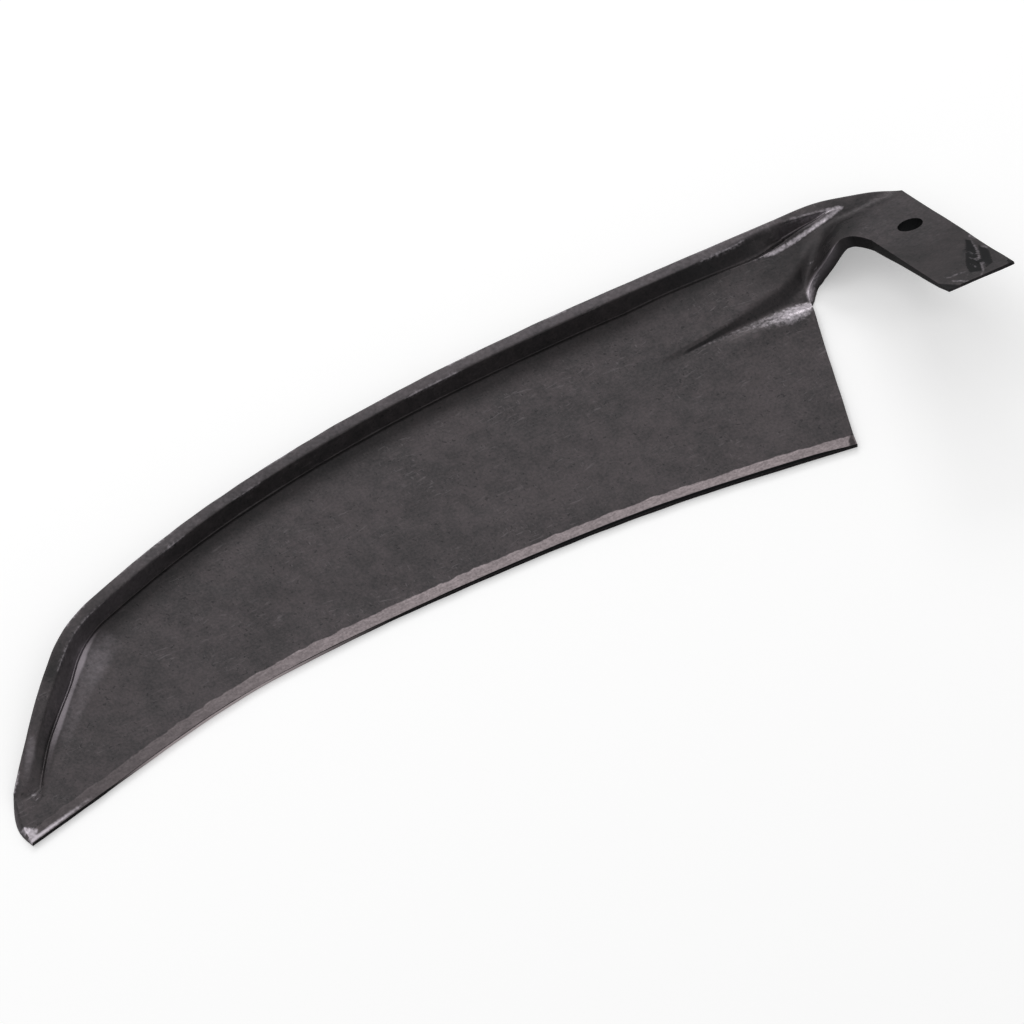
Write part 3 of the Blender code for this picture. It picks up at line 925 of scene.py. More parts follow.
        heel[:, 3] = heel[:, 2] - self.press.plateau(heel[:, 0], heel[:, 1])
        heel[-3:, 3] = heel[-3:, 2]
        return loops, heel

    def far_loops(self, heel: Array) -> tuple[Loops, Array]:
        """Closed loops round the neck and the tang.

        Args:
            heel: The named points at the heel, with their thickness as a fourth number.

        Returns:
            The loops, and the named points on their tops.
        """
        at, along = np.linspace(0.0, 1.0, self.neck_steps)[1:], self.tang_stations()
        neck = self.neck.plan(at)
        shares = np.linspace(0.0, 1.0, neck.shape[1])
        ends = (
            mix(np.array(self.neck.inner[-1]), np.array(self.tang.end_inner), along[:, None]),
            mix(np.array(self.tang.shoulder), np.array(self.tang.end_outer), along[:, None]),
        )
        tang = np.stack([mix(*ends, share) for share in shares], axis=1)
        plan = np.concatenate([neck, tang])
        done = np.concatenate([at, np.ones(len(along))])
        foot_at, crest_at = Column.FOOT - Column.LIP, Column.CREST - Column.LIP
        height = self.body(plan[..., 0], plan[..., 1])
        height[len(at):] = self.tang.top(tang[..., 1])
        level = self.tang.top(plan[..., 1])
        left = np.clip(1.0 - done / self.neck.groove_end, 0.0, 1.0)
        kept = ease(left * self.neck.groove_left)
        rise, depth = self.chine.crest_rise[-1], self.chine.groove_depth[-1] * left
        height[:, crest_at] = mix(level[:, crest_at], height[:, crest_at] + rise, kept)
        height[:, foot_at] = mix(level[:, foot_at], height[:, foot_at] - depth, kept)
        height[:, foot_at + 1:] = level[:, foot_at + 1:]
        top = raised(plan, height)
        turned = ease(done / self.neck.turned_by)
        down = self.neck.down(done, self.tang.pitch, len(shares))
        thick = mix(heel[None, :, 3], self.tang.thickness[0], ease(at / self.neck.thick_by)[:, None])
        thick += self.neck.swelling(at, len(shares))
        thick = np.concatenate([thick, self.tang.depth(along, len(shares))])
        bottom = top + down * thick[..., None]
        bottom[..., 2] = np.maximum(bottom[..., 2], 0.0)
        half = mix(1.0 - self.chine.back_corner / heel[-1, 2], 0.5, turned)[:, None]
        corner = top[:, -1] + down[:, -1] * thick[:, -1:] * half
        below = bottom[:, -1].copy()
        below[:, 1] -= self.chine.back_corner * (1.0 - turned)
        crest = top[:, crest_at]
        reach = np.full(len(plan), self.chine.crest_reach[-1])
        web = self.lift(self.across(plan, self.fine_columns(Column.LIP) - Column.LIP), crest, reach)
        x, y, _ = np.moveaxis(web[len(at):], 2, 0)
        web[len(at):, :, 2] = self.tang.top(y) - sum(flat.sink(x, y) for flat in self.tang.flats)
        under = self.across(bottom, self.under_columns(Column.LIP) - Column.LIP)
        inner_top, inner_bottom = top[:, 0], bottom[:, 0]
        points = np.concatenate([
            rounded(inner_bottom, inner_top, web[:, 0], self.side_radius, self.arc_steps),
            web,
            self.rim_part(
                web[:, -1], [crest, top[:, foot_at], top[:, foot_at + 1], top[:, -1], corner, below], under[:, 0],
                np.full(len(plan), self.chine.crest_soft[-1]),
            ),
            under,
            rounded(under[:, -1], inner_bottom, inner_top, self.side_radius, self.arc_steps),
        ], axis=1)
        return Loops(points, points.shape[1] - under.shape[1] - self.arc_steps), top

    @staticmethod
    def wall(bm: bmesh.types.BMesh, first: list, last: list) -> None:
        """Fills the wall between two lines of vertices that run the same way.

        Args:
            bm: The mesh being made.
            first: One line's vertices.
            last: The other line's vertices.
        """
        i = j = 0
        while i < len(first) - 1 or j < len(last) - 1:
            if j == len(last) - 1:
                forward = True
            elif i == len(first) - 1:
                forward = False
            else:
                forward = (first[i + 1].co - last[j].co).length <= (first[i].co - last[j + 1].co).length
            ahead = first[i + 1] if forward else last[j + 1]
            corners = {first[i], ahead, last[j]}
            if len(corners) == 3:
                bm.faces.new((first[i], ahead, last[j]))
            i, j = (i + 1, j) if forward else (i, j + 1)

    @staticmethod
    def band(bm: bmesh.types.BMesh, here: list, there: list) -> None:
        """Joins two closed loops of vertices, of which neighbours can be one and the same.

        Args:
            bm: The mesh being made.
            here: One loop's vertices.
            there: The other loop's vertices.
        """
        for i in range(len(here)):
            k = (i + 1) % len(here)
            corners = list(dict.fromkeys((here[i], here[k], there[k], there[i])))
            if len(corners) > 2:
                bm.faces.new(corners)

    def skin(self) -> tuple[bpy.types.Mesh, dict[str, Array]]:
        """Makes the closed mesh of the forging.

        Returns:
            The mesh in metres, in the frame, and the named lines of the form in the blade's millimetres.
        """
        at = self.blade_stations()
        near, heel = self.blade_loops(at)
        far, far_top = self.far_loops(heel)
        bm = bmesh.new()
        rows = [[bm.verts.new(point) for point in loop] for loop in near.points]
        far_rows = [[bm.verts.new(point) for point in loop] for loop in far.points]
        toe, cut, end = rows[0], rows[-1], far_rows[-1]
        seam = [cut[near.lip_top]] * (self.arc_steps - 1) + cut[near.lip_top:near.lip_bottom + 1]
        seam += [cut[near.lip_bottom]] * (self.arc_steps - 1)
        for here, there in [*zip(rows, rows[1:]), *zip([seam] + far_rows, far_rows)]:
            self.band(bm, here, there)
        self.wall(bm, toe[:near.under + 1], toe[near.under:][::-1])
        self.wall(bm, cut[:near.lip_top + 1], cut[near.lip_bottom:][::-1])
        self.wall(bm, end[:far.under + 1], end[far.under:][::-1])
        bmesh.ops.remove_doubles(bm, verts=bm.verts, dist=self.weld)
        bmesh.ops.recalc_face_normals(bm, faces=bm.faces)
        self.hammer(bm)
        bmesh.ops.translate(bm, verts=bm.verts, vec=self.shift)
        bmesh.ops.scale(bm, verts=bm.verts, vec=(MM, MM, MM))
        return finished(bm, NODE + "_forging"), self.named_lines(at, far_top)

    def hammer(self, bm: bmesh.types.BMesh) -> None:
        """Gives the skin the slight unevenness of hand forging.

        Args:
            bm: The mesh being made.
        """
        bm.normal_update()
        points = np.array([v.co for v in bm.verts])
        waves = sum(share * uneven(points, length, seed) for share, length, seed in self.hammer_waves)
        depth = self.hammer_depth * waves
        for vert, push in zip(bm.verts, depth):
            vert.co += vert.normal * float(push)
            vert.co.z = max(vert.co.z, 0.0)

    def named_lines(self, at: Array, far_top: Array) -> dict[str, Array]:
        """Finds the form's named lines in space, for the wear, painted light and painted shade along them.

        Args:
            at: Fractions of the blade's length.
            far_top: The named points on the tops of the neck's and the tang's loops.

        Returns:
            Lines by name, in the blade's millimetres.
        """
        plan = self.blade_plan(at, self.toe.draft)
        level = {c: self.body(plan[:, c, 0], plan[:, c, 1]) for c in Column} | {Column.EDGE: self.edge.land}
        level[Column.RIM_INNER] = level[Column.RIM_OUTER] = self.chine.top(at)
        found = {}
        for column in Column:
            line = raised(plan[:, column], level[column])
            if column > Column.LIP:
                line = np.concatenate([line, far_top[:, column - Column.LIP]])
            found[column.name] = line[::3]
        found["NECK_INNER"] = far_top[:self.neck_steps, 0][::2]
        found["RIM_MIDDLE"] = 0.5 * (found["RIM_INNER"] + found["RIM_OUTER"])
        return found


class Graph:
    """A node tree that is being filled."""

    def __init__(self, tree: bpy.types.NodeTree) -> None:
        """Starts on a tree."""
        self.tree = tree

    def add(self, kind: str, sockets: dict | None = None, **settings: object) -> bpy.types.Node:
        """Adds one node.

        Args:
            kind: The node's type, without its ShaderNode prefix.
            sockets: A value or an output socket for each input, by name or place.
            settings: The node's own properties.

        Returns:
            The node.
        """
        node = self.tree.nodes.new(kind if kind.startswith("Node") else "ShaderNode" + kind)
        for name, value in settings.items():
            setattr(node, name, value)
        for key, value in (sockets or {}).items():
            if isinstance(value, bpy.types.NodeSocket):
                self.tree.links.new(value, node.inputs[key])
            else:
                node.inputs[key].default_value = value
        return node

    def math(self, operation: str, first: object, second: object = 0.0) -> Socket:
        """Adds a sum, product or the like of two values."""
        return self.add("Math", {0: first, 1: second}, operation=operation).outputs[0]

    def times(self, first: object, second: object) -> Socket:
        """Adds a product."""
        return self.math("MULTIPLY", first, second)

    def plus(self, first: object, second: object) -> Socket:
        """Adds a sum."""
        return self.math("ADD", first, second)

    def vector(self, operation: str, first: object, second: object) -> Socket:
        """Adds a sum, product or the like of two vectors."""
        return self.add("VectorMath", {0: first, 1: second}, operation=operation).outputs[0]

    def noise(self, place: object, scale: object, detail: float = 3.0) -> Socket:
        """Adds a smooth noise of about 0.3 to 0.7."""
        return self.add("TexNoise", {"Vector": place, "Scale": scale, "Detail": detail}).outputs["Fac"]

    def ramp(self, value: object, low: object, high: object) -> Socket:
        """Adds a smooth step that goes from 0 at low to 1 at high."""
        sockets = {"Value": value, "From Min": low, "From Max": high}
        return self.add("MapRange", sockets, interpolation_type="SMOOTHSTEP").outputs["Result"]

    def total(self, *parts: tuple[float, Socket]) -> Socket:
        """Adds up values, each with its own weight.

        Args:
            parts: Weights and values.

        Returns:
            The sum.
        """
        found = 0.0
        for weight, value in parts:
            found = self.plus(found, self.times(value, weight))
        return found

    def blend(self, share: object, first: object, second: object) -> Socket:
        """Adds a mix of two colours."""
        return self.add("Mix", {0: share, 6: first, 7: second}, data_type="RGBA").outputs[2]

    def millimetres(self, shift: Triple) -> Socket:
        """Adds the surface's place in the blade's own frame, in millimetres."""
        scaled = self.vector("MULTIPLY", self.add("TexCoord").outputs["Object"], (1.0 / MM,) * 3)
        return self.vector("SUBTRACT", scaled, shift)

    def join(self, *pairs: tuple[Socket, Socket]) -> None:
        """Links outputs to inputs."""
        for start, end in pairs:
            self.tree.links.new(start, end)


class Pattern(Enum):
    """Surface effects that more than one finish uses."""

    SCALE = "forge_scale"
    STROKES = "drawn_strokes"
    BREAK = "broken_wear"


class Patterns:
    """The shared node groups, each built once."""

    cloud_finer: float = 6.0
    cloud_shares: Pair = (0.45, 0.55)
    cloud_limits: Pair = (0.36, 0.64)
    speck_limits: Pair = (0.3, 0.7)
    pit_finer: float = 0.7
    pit_limits: Pair = (0.68, 0.75)
    shade_shares: Triple = (0.55, 0.5, -0.3)
    height_shares: Pair = (0.8, -0.7)
    bend_scale: float = 0.045
    bend_reach: float = 9.0
    stroke_border: Pair = (-0.05, 0.09)
    worn_border: float = 0.15

    def __init__(self) -> None:
        """Builds the groups."""
        makers = {
            Pattern.SCALE: self.forge_scale,
            Pattern.STROKES: self.drawn_strokes,
            Pattern.BREAK: self.broken_wear,
        }
        self.trees = {pattern: make() for pattern, make in makers.items()}

    def start(self, pattern: Pattern, inputs: dict[str, str], outputs: dict[str, str]) -> tuple:
        """Starts a group with named sockets.

        Args:
            pattern: The effect.
            inputs: Socket types by name.
            outputs: Socket types by name.

        Returns:
            The tree, its graph, its inputs' sockets and its output node.
        """
        tree = bpy.data.node_groups.new(pattern.value, "ShaderNodeTree")
        for names, way in ((inputs, "INPUT"), (outputs, "OUTPUT")):
            for name, kind in names.items():
                tree.interface.new_socket(name, in_out=way, socket_type="NodeSocket" + kind)
        graph = Graph(tree)
        return tree, graph, graph.add("NodeGroupInput").outputs, graph.add("NodeGroupOutput").inputs

    def forge_scale(self) -> bpy.types.NodeTree:
        """Black scale from the forge: clouds, fine grain and small pits.

        Returns:
            The group's tree.
        """
        tree, graph, given, out = self.start(
            Pattern.SCALE,
            {"Position": "Vector", "Clouds": "Float", "Grain": "Float", "Dark": "Color", "Light": "Color"},
            {"Color": "Color", "Cloud": "Float", "Pits": "Float", "Height": "Float"},
        )
        place = given["Position"]
        wide, small = (graph.math("DIVIDE", 1.0, given[name]) for name in ("Clouds", "Grain"))
        clouds = graph.noise(place, wide, 4.0), graph.noise(place, graph.times(wide, self.cloud_finer), 4.0)
        grain = graph.noise(place, small)
        cloud = graph.ramp(graph.total(*zip(self.cloud_shares, clouds)), *self.cloud_limits)
        speck = graph.ramp(grain, *self.speck_limits)
        pits = graph.ramp(graph.noise(place, graph.times(small, self.pit_finer), 1.0), *self.pit_limits)
        shade = graph.total(*zip(self.shade_shares, (cloud, speck, pits)))
        graph.join(
            (graph.blend(shade, given["Dark"], given["Light"]), out["Color"]),
            (cloud, out["Cloud"]),
            (pits, out["Pits"]),
            (graph.total(*zip(self.height_shares, (grain, pits))), out["Height"]),
        )
        return tree

    def drawn_strokes(self) -> bpy.types.NodeTree:
        """Strokes drawn out along one way, from close lines to a few short scuffs.

        Returns:
            The group's tree.
        """
        tree, graph, given, out = self.start(
            Pattern.STROKES,
            {"Position": "Vector", "Length": "Float", "Width": "Float", "Few": "Float", "Seed": "Float"},
            {"Strokes": "Float"},
        )
        length, width = (graph.math("DIVIDE", 1.0, given[name]) for name in ("Length", "Width"))
        size = graph.add("CombineXYZ", {"X": length, "Y": width, "Z": width}).outputs[0]
        bend = graph.times(graph.noise(given["Position"], self.bend_scale, 1.0), self.bend_reach)
        bent = graph.add("CombineXYZ", {"X": 0.0, "Y": bend, "Z": given["Seed"]}).outputs[0]
        place = graph.vector("MULTIPLY", graph.vector("ADD", given["Position"], bent), size)
        low, high = (graph.plus(given["Few"], step) for step in self.stroke_border)
        graph.join((graph.ramp(graph.noise(place, 1.0, 2.0), low, high), out["Strokes"]))
        return tree

    def broken_wear(self) -> bpy.types.NodeTree:
        """Metal laid bare by rubbing, and painted highlights, broken up by a grain.

        Returns:
            The group's tree.
        """
        tree, graph, given, out = self.start(
            Pattern.BREAK,
            {"Position": "Vector", "Mask": "Float", "Grain": "Float", "Rough": "Float"},
            {"Worn_And_Lit": "Float"},
        )
        grain = graph.noise(given["Position"], graph.math("DIVIDE", 1.0, given["Grain"]), 4.0)
        broken = graph.plus(given["Mask"], graph.times(graph.plus(grain, -0.5), given["Rough"]))
        worn_and_lit = graph.times(graph.ramp(broken, 0.0, 1.0), graph.ramp(given["Mask"], 0.0, self.worn_border))
        graph.join((worn_and_lit, out["Worn_And_Lit"]))
        return tree


@dataclass(frozen=True)
class Strokes:
    """Strokes along the blade.

    Attributes:
        length: Their length, in millimetres.
        width: Their width, in millimetres.
        few: How few there are, from about 0.5 to 0.7.
        seed: Picks the pattern.
    """

    length: float
    width: float
    few: float
    seed: float = 0.0


class Coat:
    """A material of the blade that is being made, with the shared effects at hand."""

    def __init__(self, name: str, patterns: Patterns, shift: Triple) -> None:
        """Starts the material.

        Args:
            name: The material's name.
            patterns: The shared surface effects.
            shift: From the blade's own frame to the object's, in millimetres.
        """
        self.material = bpy.data.materials.new(name)
        self.material.use_nodes = True
        self.graph = Graph(self.material.node_tree)
        self.patterns = patterns
        self.place = self.graph.millimetres(shift)
        self.along = self.graph.add("SeparateXYZ", {0: self.place}).outputs["X"]

    def effect(self, pattern: Pattern, **values: object) -> bpy.types.bpy_prop_collection:
        """Places a shared effect with its own values, and gives its outputs."""
        sockets = {"Position": self.place} | {name.title(): value for name, value in values.items()}
        return self.graph.add("Group", sockets, node_tree=self.patterns.trees[pattern]).outputs

    def strokes(self, strokes: Strokes) -> Socket:
        """Places strokes."""
        return self.effect(Pattern.STROKES, **vars(strokes))["Strokes"]

    def broken(self, mask: Socket, grain: float, rough: float) -> Socket:
        """Places wear and painted highlights, broken up by a grain."""
        return self.effect(Pattern.BREAK, mask=mask, grain=grain, rough=rough)["Worn_And_Lit"]

    def finish(self, colour: Socket, rough: Socket, metal: object, height: Socket, bump: Pair) -> None:
        """Joins what changes over the surface to the shader, and sets what doesn't.

        Args:
            colour: Base colour.
            rough: Roughness.
            metal: A socket or a value for Metallic.
            height: Height of the fine relief.
            bump: Strength of the relief, and its distance in metres.
        """
        shader = self.material.node_tree.nodes["Principled BSDF"]
        normal = self.graph.add("Bump", {"Strength": bump[0], "Distance": bump[1], "Height": height}).outputs["Normal"]
        self.graph.join(
            (colour, shader.inputs["Base Color"]), (rough, shader.inputs["Roughness"]),
            (normal, shader.inputs["Normal"]),
        )
        if isinstance(metal, Socket):
            self.graph.join((metal, shader.inputs["Metallic"]))
        else:
            shader.inputs["Metallic"].default_value = metal
        shader.inputs["Specular IOR Level"].default_value = SPECULAR_LEVEL
        shader.inputs["Specular Tint"].default_value = SPECULAR_TINT


@dataclass(frozen=True)
class BlackenedSteel:
    """Forged steel under thin black scale, ground bright along the edge and rubbed bare on its corners, with painted
    highlights on some corners and painted shade in its hollows and on its steep faces.
    """

    dark: Colour = (0.0385, 0.0365, 0.0378, 1.0)
    light: Colour = (0.066, 0.0575, 0.060, 1.0)
    # Painted shade, soft and near black
    shaded: Colour = (0.0115, 0.012, 0.012, 1.0)
    soot: Colour = (0.006, 0.0065, 0.007, 1.0)
    dented: Colour = (0.020, 0.019, 0.020, 1.0)
    # Rubbed and bare metal, also used for painted highlights
    rubbed: Colour = (0.250, 0.225, 0.245, 1.0)
    bare: Colour = (0.50, 0.46, 0.50, 1.0)
    scuffed: Colour = (0.115, 0.105, 0.110, 1.0)
    ground: Colour = (0.290, 0.250, 0.258, 1.0)
    ground_dark: Colour = (0.180, 0.155, 0.160, 1.0)
    metallic: float = 0.6
    clouds: float = 30.0
    grain: float = 1.3
    roughness: float = 0.36
    relief: Pair = (0.35, 0.00005)
    hairs: Strokes = Strokes(6.0, 0.6, 0.55)
    scuffs: tuple[Strokes, Strokes] = (Strokes(6.0, 1.1, 0.66, 40.0), Strokes(1.0, 3.2, 0.67, 90.0))
    nicks: Strokes = Strokes(1.1, 2.6, 0.68, 60.0)
    grinding: Strokes = Strokes(4.0, 0.9, 0.5, 7.0)
    scuffed_parts: Triple = (0.05, 0.42, 0.62)
    web_ends: Pair = (428.0, 412.0)
    dents_off_web: float = 0.25
    dent_cover: float = 0.4
    scuff_cover: float = 0.5
    rub_cover: float = 0.9
    bare_break: Pair = (1.3, 0.8)
    rub_break: Pair = (1.6, 0.35)
    ground_width: float = 5.3
    ground_soft: float = 0.3
    ground_waves: Pair = (0.14, 2.6)
    ground_dull: float = 0.16
    ground_fresh: Pair = (0.0, 220.0)
    coarse_grit: Triple = (1.1, 0.34, 0.66)
    coarse_share: float = 0.6
    land_least: float = 0.25
    land_border: Pair = (1.1, 0.9)
    land_wide: Pair = (150.0, 320.0)
    land_ends: Pair = (402.0, 380.0)
    rub_polish: float = 0.6
    matt_shares: Sizes = (0.08, 0.04, 0.12, -0.06)
    relief_shares: Sizes = (1.0, 0.35, 0.5, 0.5)

    def make(self, patterns: Patterns, shift: Triple) -> bpy.types.Material:
        """Makes the material.

        Args:
            patterns: The shared surface effects.
            shift: From the blade's own frame to the object's, in millimetres.

        Returns:
            The material.
        """
        coat = Coat("blackened_steel", patterns, shift)
        graph, place, along = coat.graph, coat.place, coat.along
        masks = {mask: graph.add("Attribute", attribute_name=mask.value).outputs["Fac"] for mask in Mask}
        scale = coat.effect(Pattern.SCALE, clouds=self.clouds, grain=self.grain, dark=self.dark, light=self.light)

        # Scale, nicked and scuffed, then darkened with painted shade and lightened where rubbed and with painted
        # highlights
        on_web = graph.ramp(along, *self.web_ends)
        hairs = graph.times(coat.strokes(self.hairs), on_web)
        scale_of_parts, *part_limits = self.scuffed_parts
        patchy = graph.ramp(graph.noise(place, scale_of_parts, 2.0), *part_limits)
        scuffs = graph.times(graph.math("MAXIMUM", *map(coat.strokes, self.scuffs)), patchy)
        dents = graph.math("MAXIMUM", coat.strokes(self.nicks), scale["Pits"])
        dents = graph.times(dents, graph.plus(self.dents_off_web, graph.times(on_web, 1.0 - self.dents_off_web)))
        bare, rubbed = coat.broken(masks[Mask.BARE], *self.bare_break), coat.broken(masks[Mask.RUB], *self.rub_break)
        colour = scale["Color"]
        for share, cover in (
            (graph.times(dents, self.dent_cover), self.dented),
            (graph.times(scuffs, self.scuff_cover), self.scuffed),
            (masks[Mask.SHADE], self.shaded),
            (graph.times(rubbed, self.rub_cover), self.rubbed),
        ):
            colour = graph.blend(share, colour, cover)

        # The bevel, ground along an uneven line and fresher towards the heel
        from_edge = masks[Mask.GROUND]
        wave_scale, wave_height = self.ground_waves
        wavy = graph.times(graph.plus(graph.noise(place, wave_scale), -0.5), wave_height)
        border = self.ground_width + self.ground_soft, self.ground_width - self.ground_soft
        ground = graph.ramp(graph.plus(from_edge, wavy), *border)
        fresh = graph.times(ground, graph.ramp(along, *self.ground_fresh))
        ground = graph.total((self.ground_dull, ground), (1.0 - self.ground_dull, fresh))
        grit_scale, *grit_limits = self.coarse_grit
        coarse = graph.ramp(graph.noise(place, grit_scale), *grit_limits)
        grit = graph.total((self.coarse_share, coarse), (1.0 - self.coarse_share, coat.strokes(self.grinding)))
        colour = graph.blend(ground, colour, graph.blend(grit, self.ground_dark, self.ground))

        # The land's dark corner, partly painted shade, and the painted black shade, then bare metal and painted
        # highlights over all
        land = graph.times(graph.ramp(along, *self.land_wide), graph.ramp(along, *self.land_ends))
        land = graph.ramp(graph.math("DIVIDE", from_edge, graph.plus(self.land_least, land)), *self.land_border)
        colour = graph.blend(graph.math("MAXIMUM", land, masks[Mask.SOOT]), colour, self.soot)
        colour = graph.blend(bare, colour, self.bare)

        polish = graph.math("MAXIMUM", graph.math("MAXIMUM", bare, graph.times(rubbed, self.rub_polish)), ground)
        matt = graph.total(*zip(self.matt_shares, (scale["Cloud"], hairs, masks[Mask.SOOT], polish)))
        metal = graph.plus(self.metallic, graph.times(polish, 1.0 - self.metallic))
        height = graph.total(*zip(self.relief_shares, (scale["Height"], hairs, scuffs, grit)))
        coat.finish(colour, graph.plus(self.roughness, matt), metal, height, self.relief)
        return coat.material


@dataclass(frozen=True)
class ShearedSteel:
    """The rough cut faces of the land, the heel and the tang's end, dull and nearly black, lighter along the land
    towards the toe from wear and from painted light.
    """

    dark: Colour = (0.012, 0.012, 0.013, 1.0)
    light: Colour = (0.034, 0.031, 0.032, 1.0)
    # Lighter along the land towards the toe: wear, and painted light where no lamp reaches the land
    worn_and_lit: Colour = (0.52, 0.46, 0.47, 1.0)
    metallic: float = 0.9
    clouds: float = 6.0
    grain: float = 0.5
    roughness: float = 0.5
    relief: Pair = (0.5, 0.00008)
    shear_lines: Strokes = Strokes(5.0, 0.4, 0.5)
    line_cover: float = 0.5
    line_roughness: float = 0.12
    worn_cover: float = 0.8
    worn_starts: Pair = (40.0, 70.0)
    worn_ends: Pair = (190.0, 120.0)

    def make(self, patterns: Patterns, shift: Triple) -> bpy.types.Material:
        """Makes the material.

        Args:
            patterns: The shared surface effects.
            shift: From the blade's own frame to the object's, in millimetres.

        Returns:
            The material.
        """
        coat = Coat("sheared_steel", patterns, shift)
        graph = coat.graph
        scale = coat.effect(Pattern.SCALE, clouds=self.clouds, grain=self.grain, dark=self.dark, light=self.light)
        lines = coat.strokes(self.shear_lines)
        colour = graph.blend(graph.times(lines, self.line_cover), scale["Color"], self.dark)
        worn_and_lit = graph.times(graph.ramp(coat.along, *self.worn_starts), graph.ramp(coat.along, *self.worn_ends))
        colour = graph.blend(graph.times(worn_and_lit, self.worn_cover), colour, self.worn_and_lit)
        rough = graph.plus(self.roughness, graph.times(lines, self.line_roughness))
        coat.finish(colour, rough, self.metallic, graph.plus(scale["Height"], lines), self.relief)
        return coat.material


@dataclass(frozen=True)
class Band:
    """A band along one of the form's named lines, for wear, painted highlight and painted shade alike.

    Attributes:
        mask: The value that the band raises.
        line: The line's name.
        strength: How far it raises the value.
        width: How far it reaches from the line.
        soft: The run over which it fades at its border, or 0 where it fades as a bell.
        starts: Where it starts along the blade, and the run over which it does.
        stops: Where it stops along the blade, and the run, below 0.
        ends: Where it stops as a share of the line, and the run, below 0.
        gain: Further strength, where it begins along the blade, and the run over which it comes.
        seed: Picks the pattern that breaks the band up, if it is above 0.
        level_only: Whether steep faces are left out.
        patch_size: Distance between the patches of a band that is broken up.
        patch_strength: How strong the patches are.
        patch_level: How much of the band they fill.
        levels: The normal's height from which a face counts as level, and the run.
    """

    mask: Mask
    line: str
    strength: float
    width: float
    soft: float = 0.0
    starts: Pair = (-100.0, 1.0)
    stops: Pair = (1000.0, -1.0)
    ends: Pair = (2.0, -1.0)
    gain: Triple = (0.0, 0.0, 1.0)
    seed: int = 0
    level_only: bool = False
    patch_size: float = 34.0
    patch_strength: float = 1.4
    patch_level: float = 0.15
    levels: Pair = (0.7, 0.25)

    def lay(self, points: Array, normals: Array, lines: dict[str, Array]) -> Array:
        """Strength of the band.

        Args:
            points: Points in the blade's millimetres.
            normals: The surface's normals there.
            lines: The form's named lines.

        Returns:
            The strength at each point.
        """
        away, where = near_line(points, lines[self.line])
        x = points[:, 0]
        found = onset(away, self.width, -self.soft) if self.soft else np.exp(-(away / self.width) ** 2)
        found = found * (self.strength + self.gain[0] * onset(x, *self.gain[1:]))
        found *= onset(x, *self.starts) * onset(x, *self.stops) * onset(where, *self.ends)
        if self.seed:
            found *= ease(self.patch_strength * uneven(points, self.patch_size, self.seed) + self.patch_level)
        return found * onset(normals[:, 2], *self.levels) if self.level_only else found


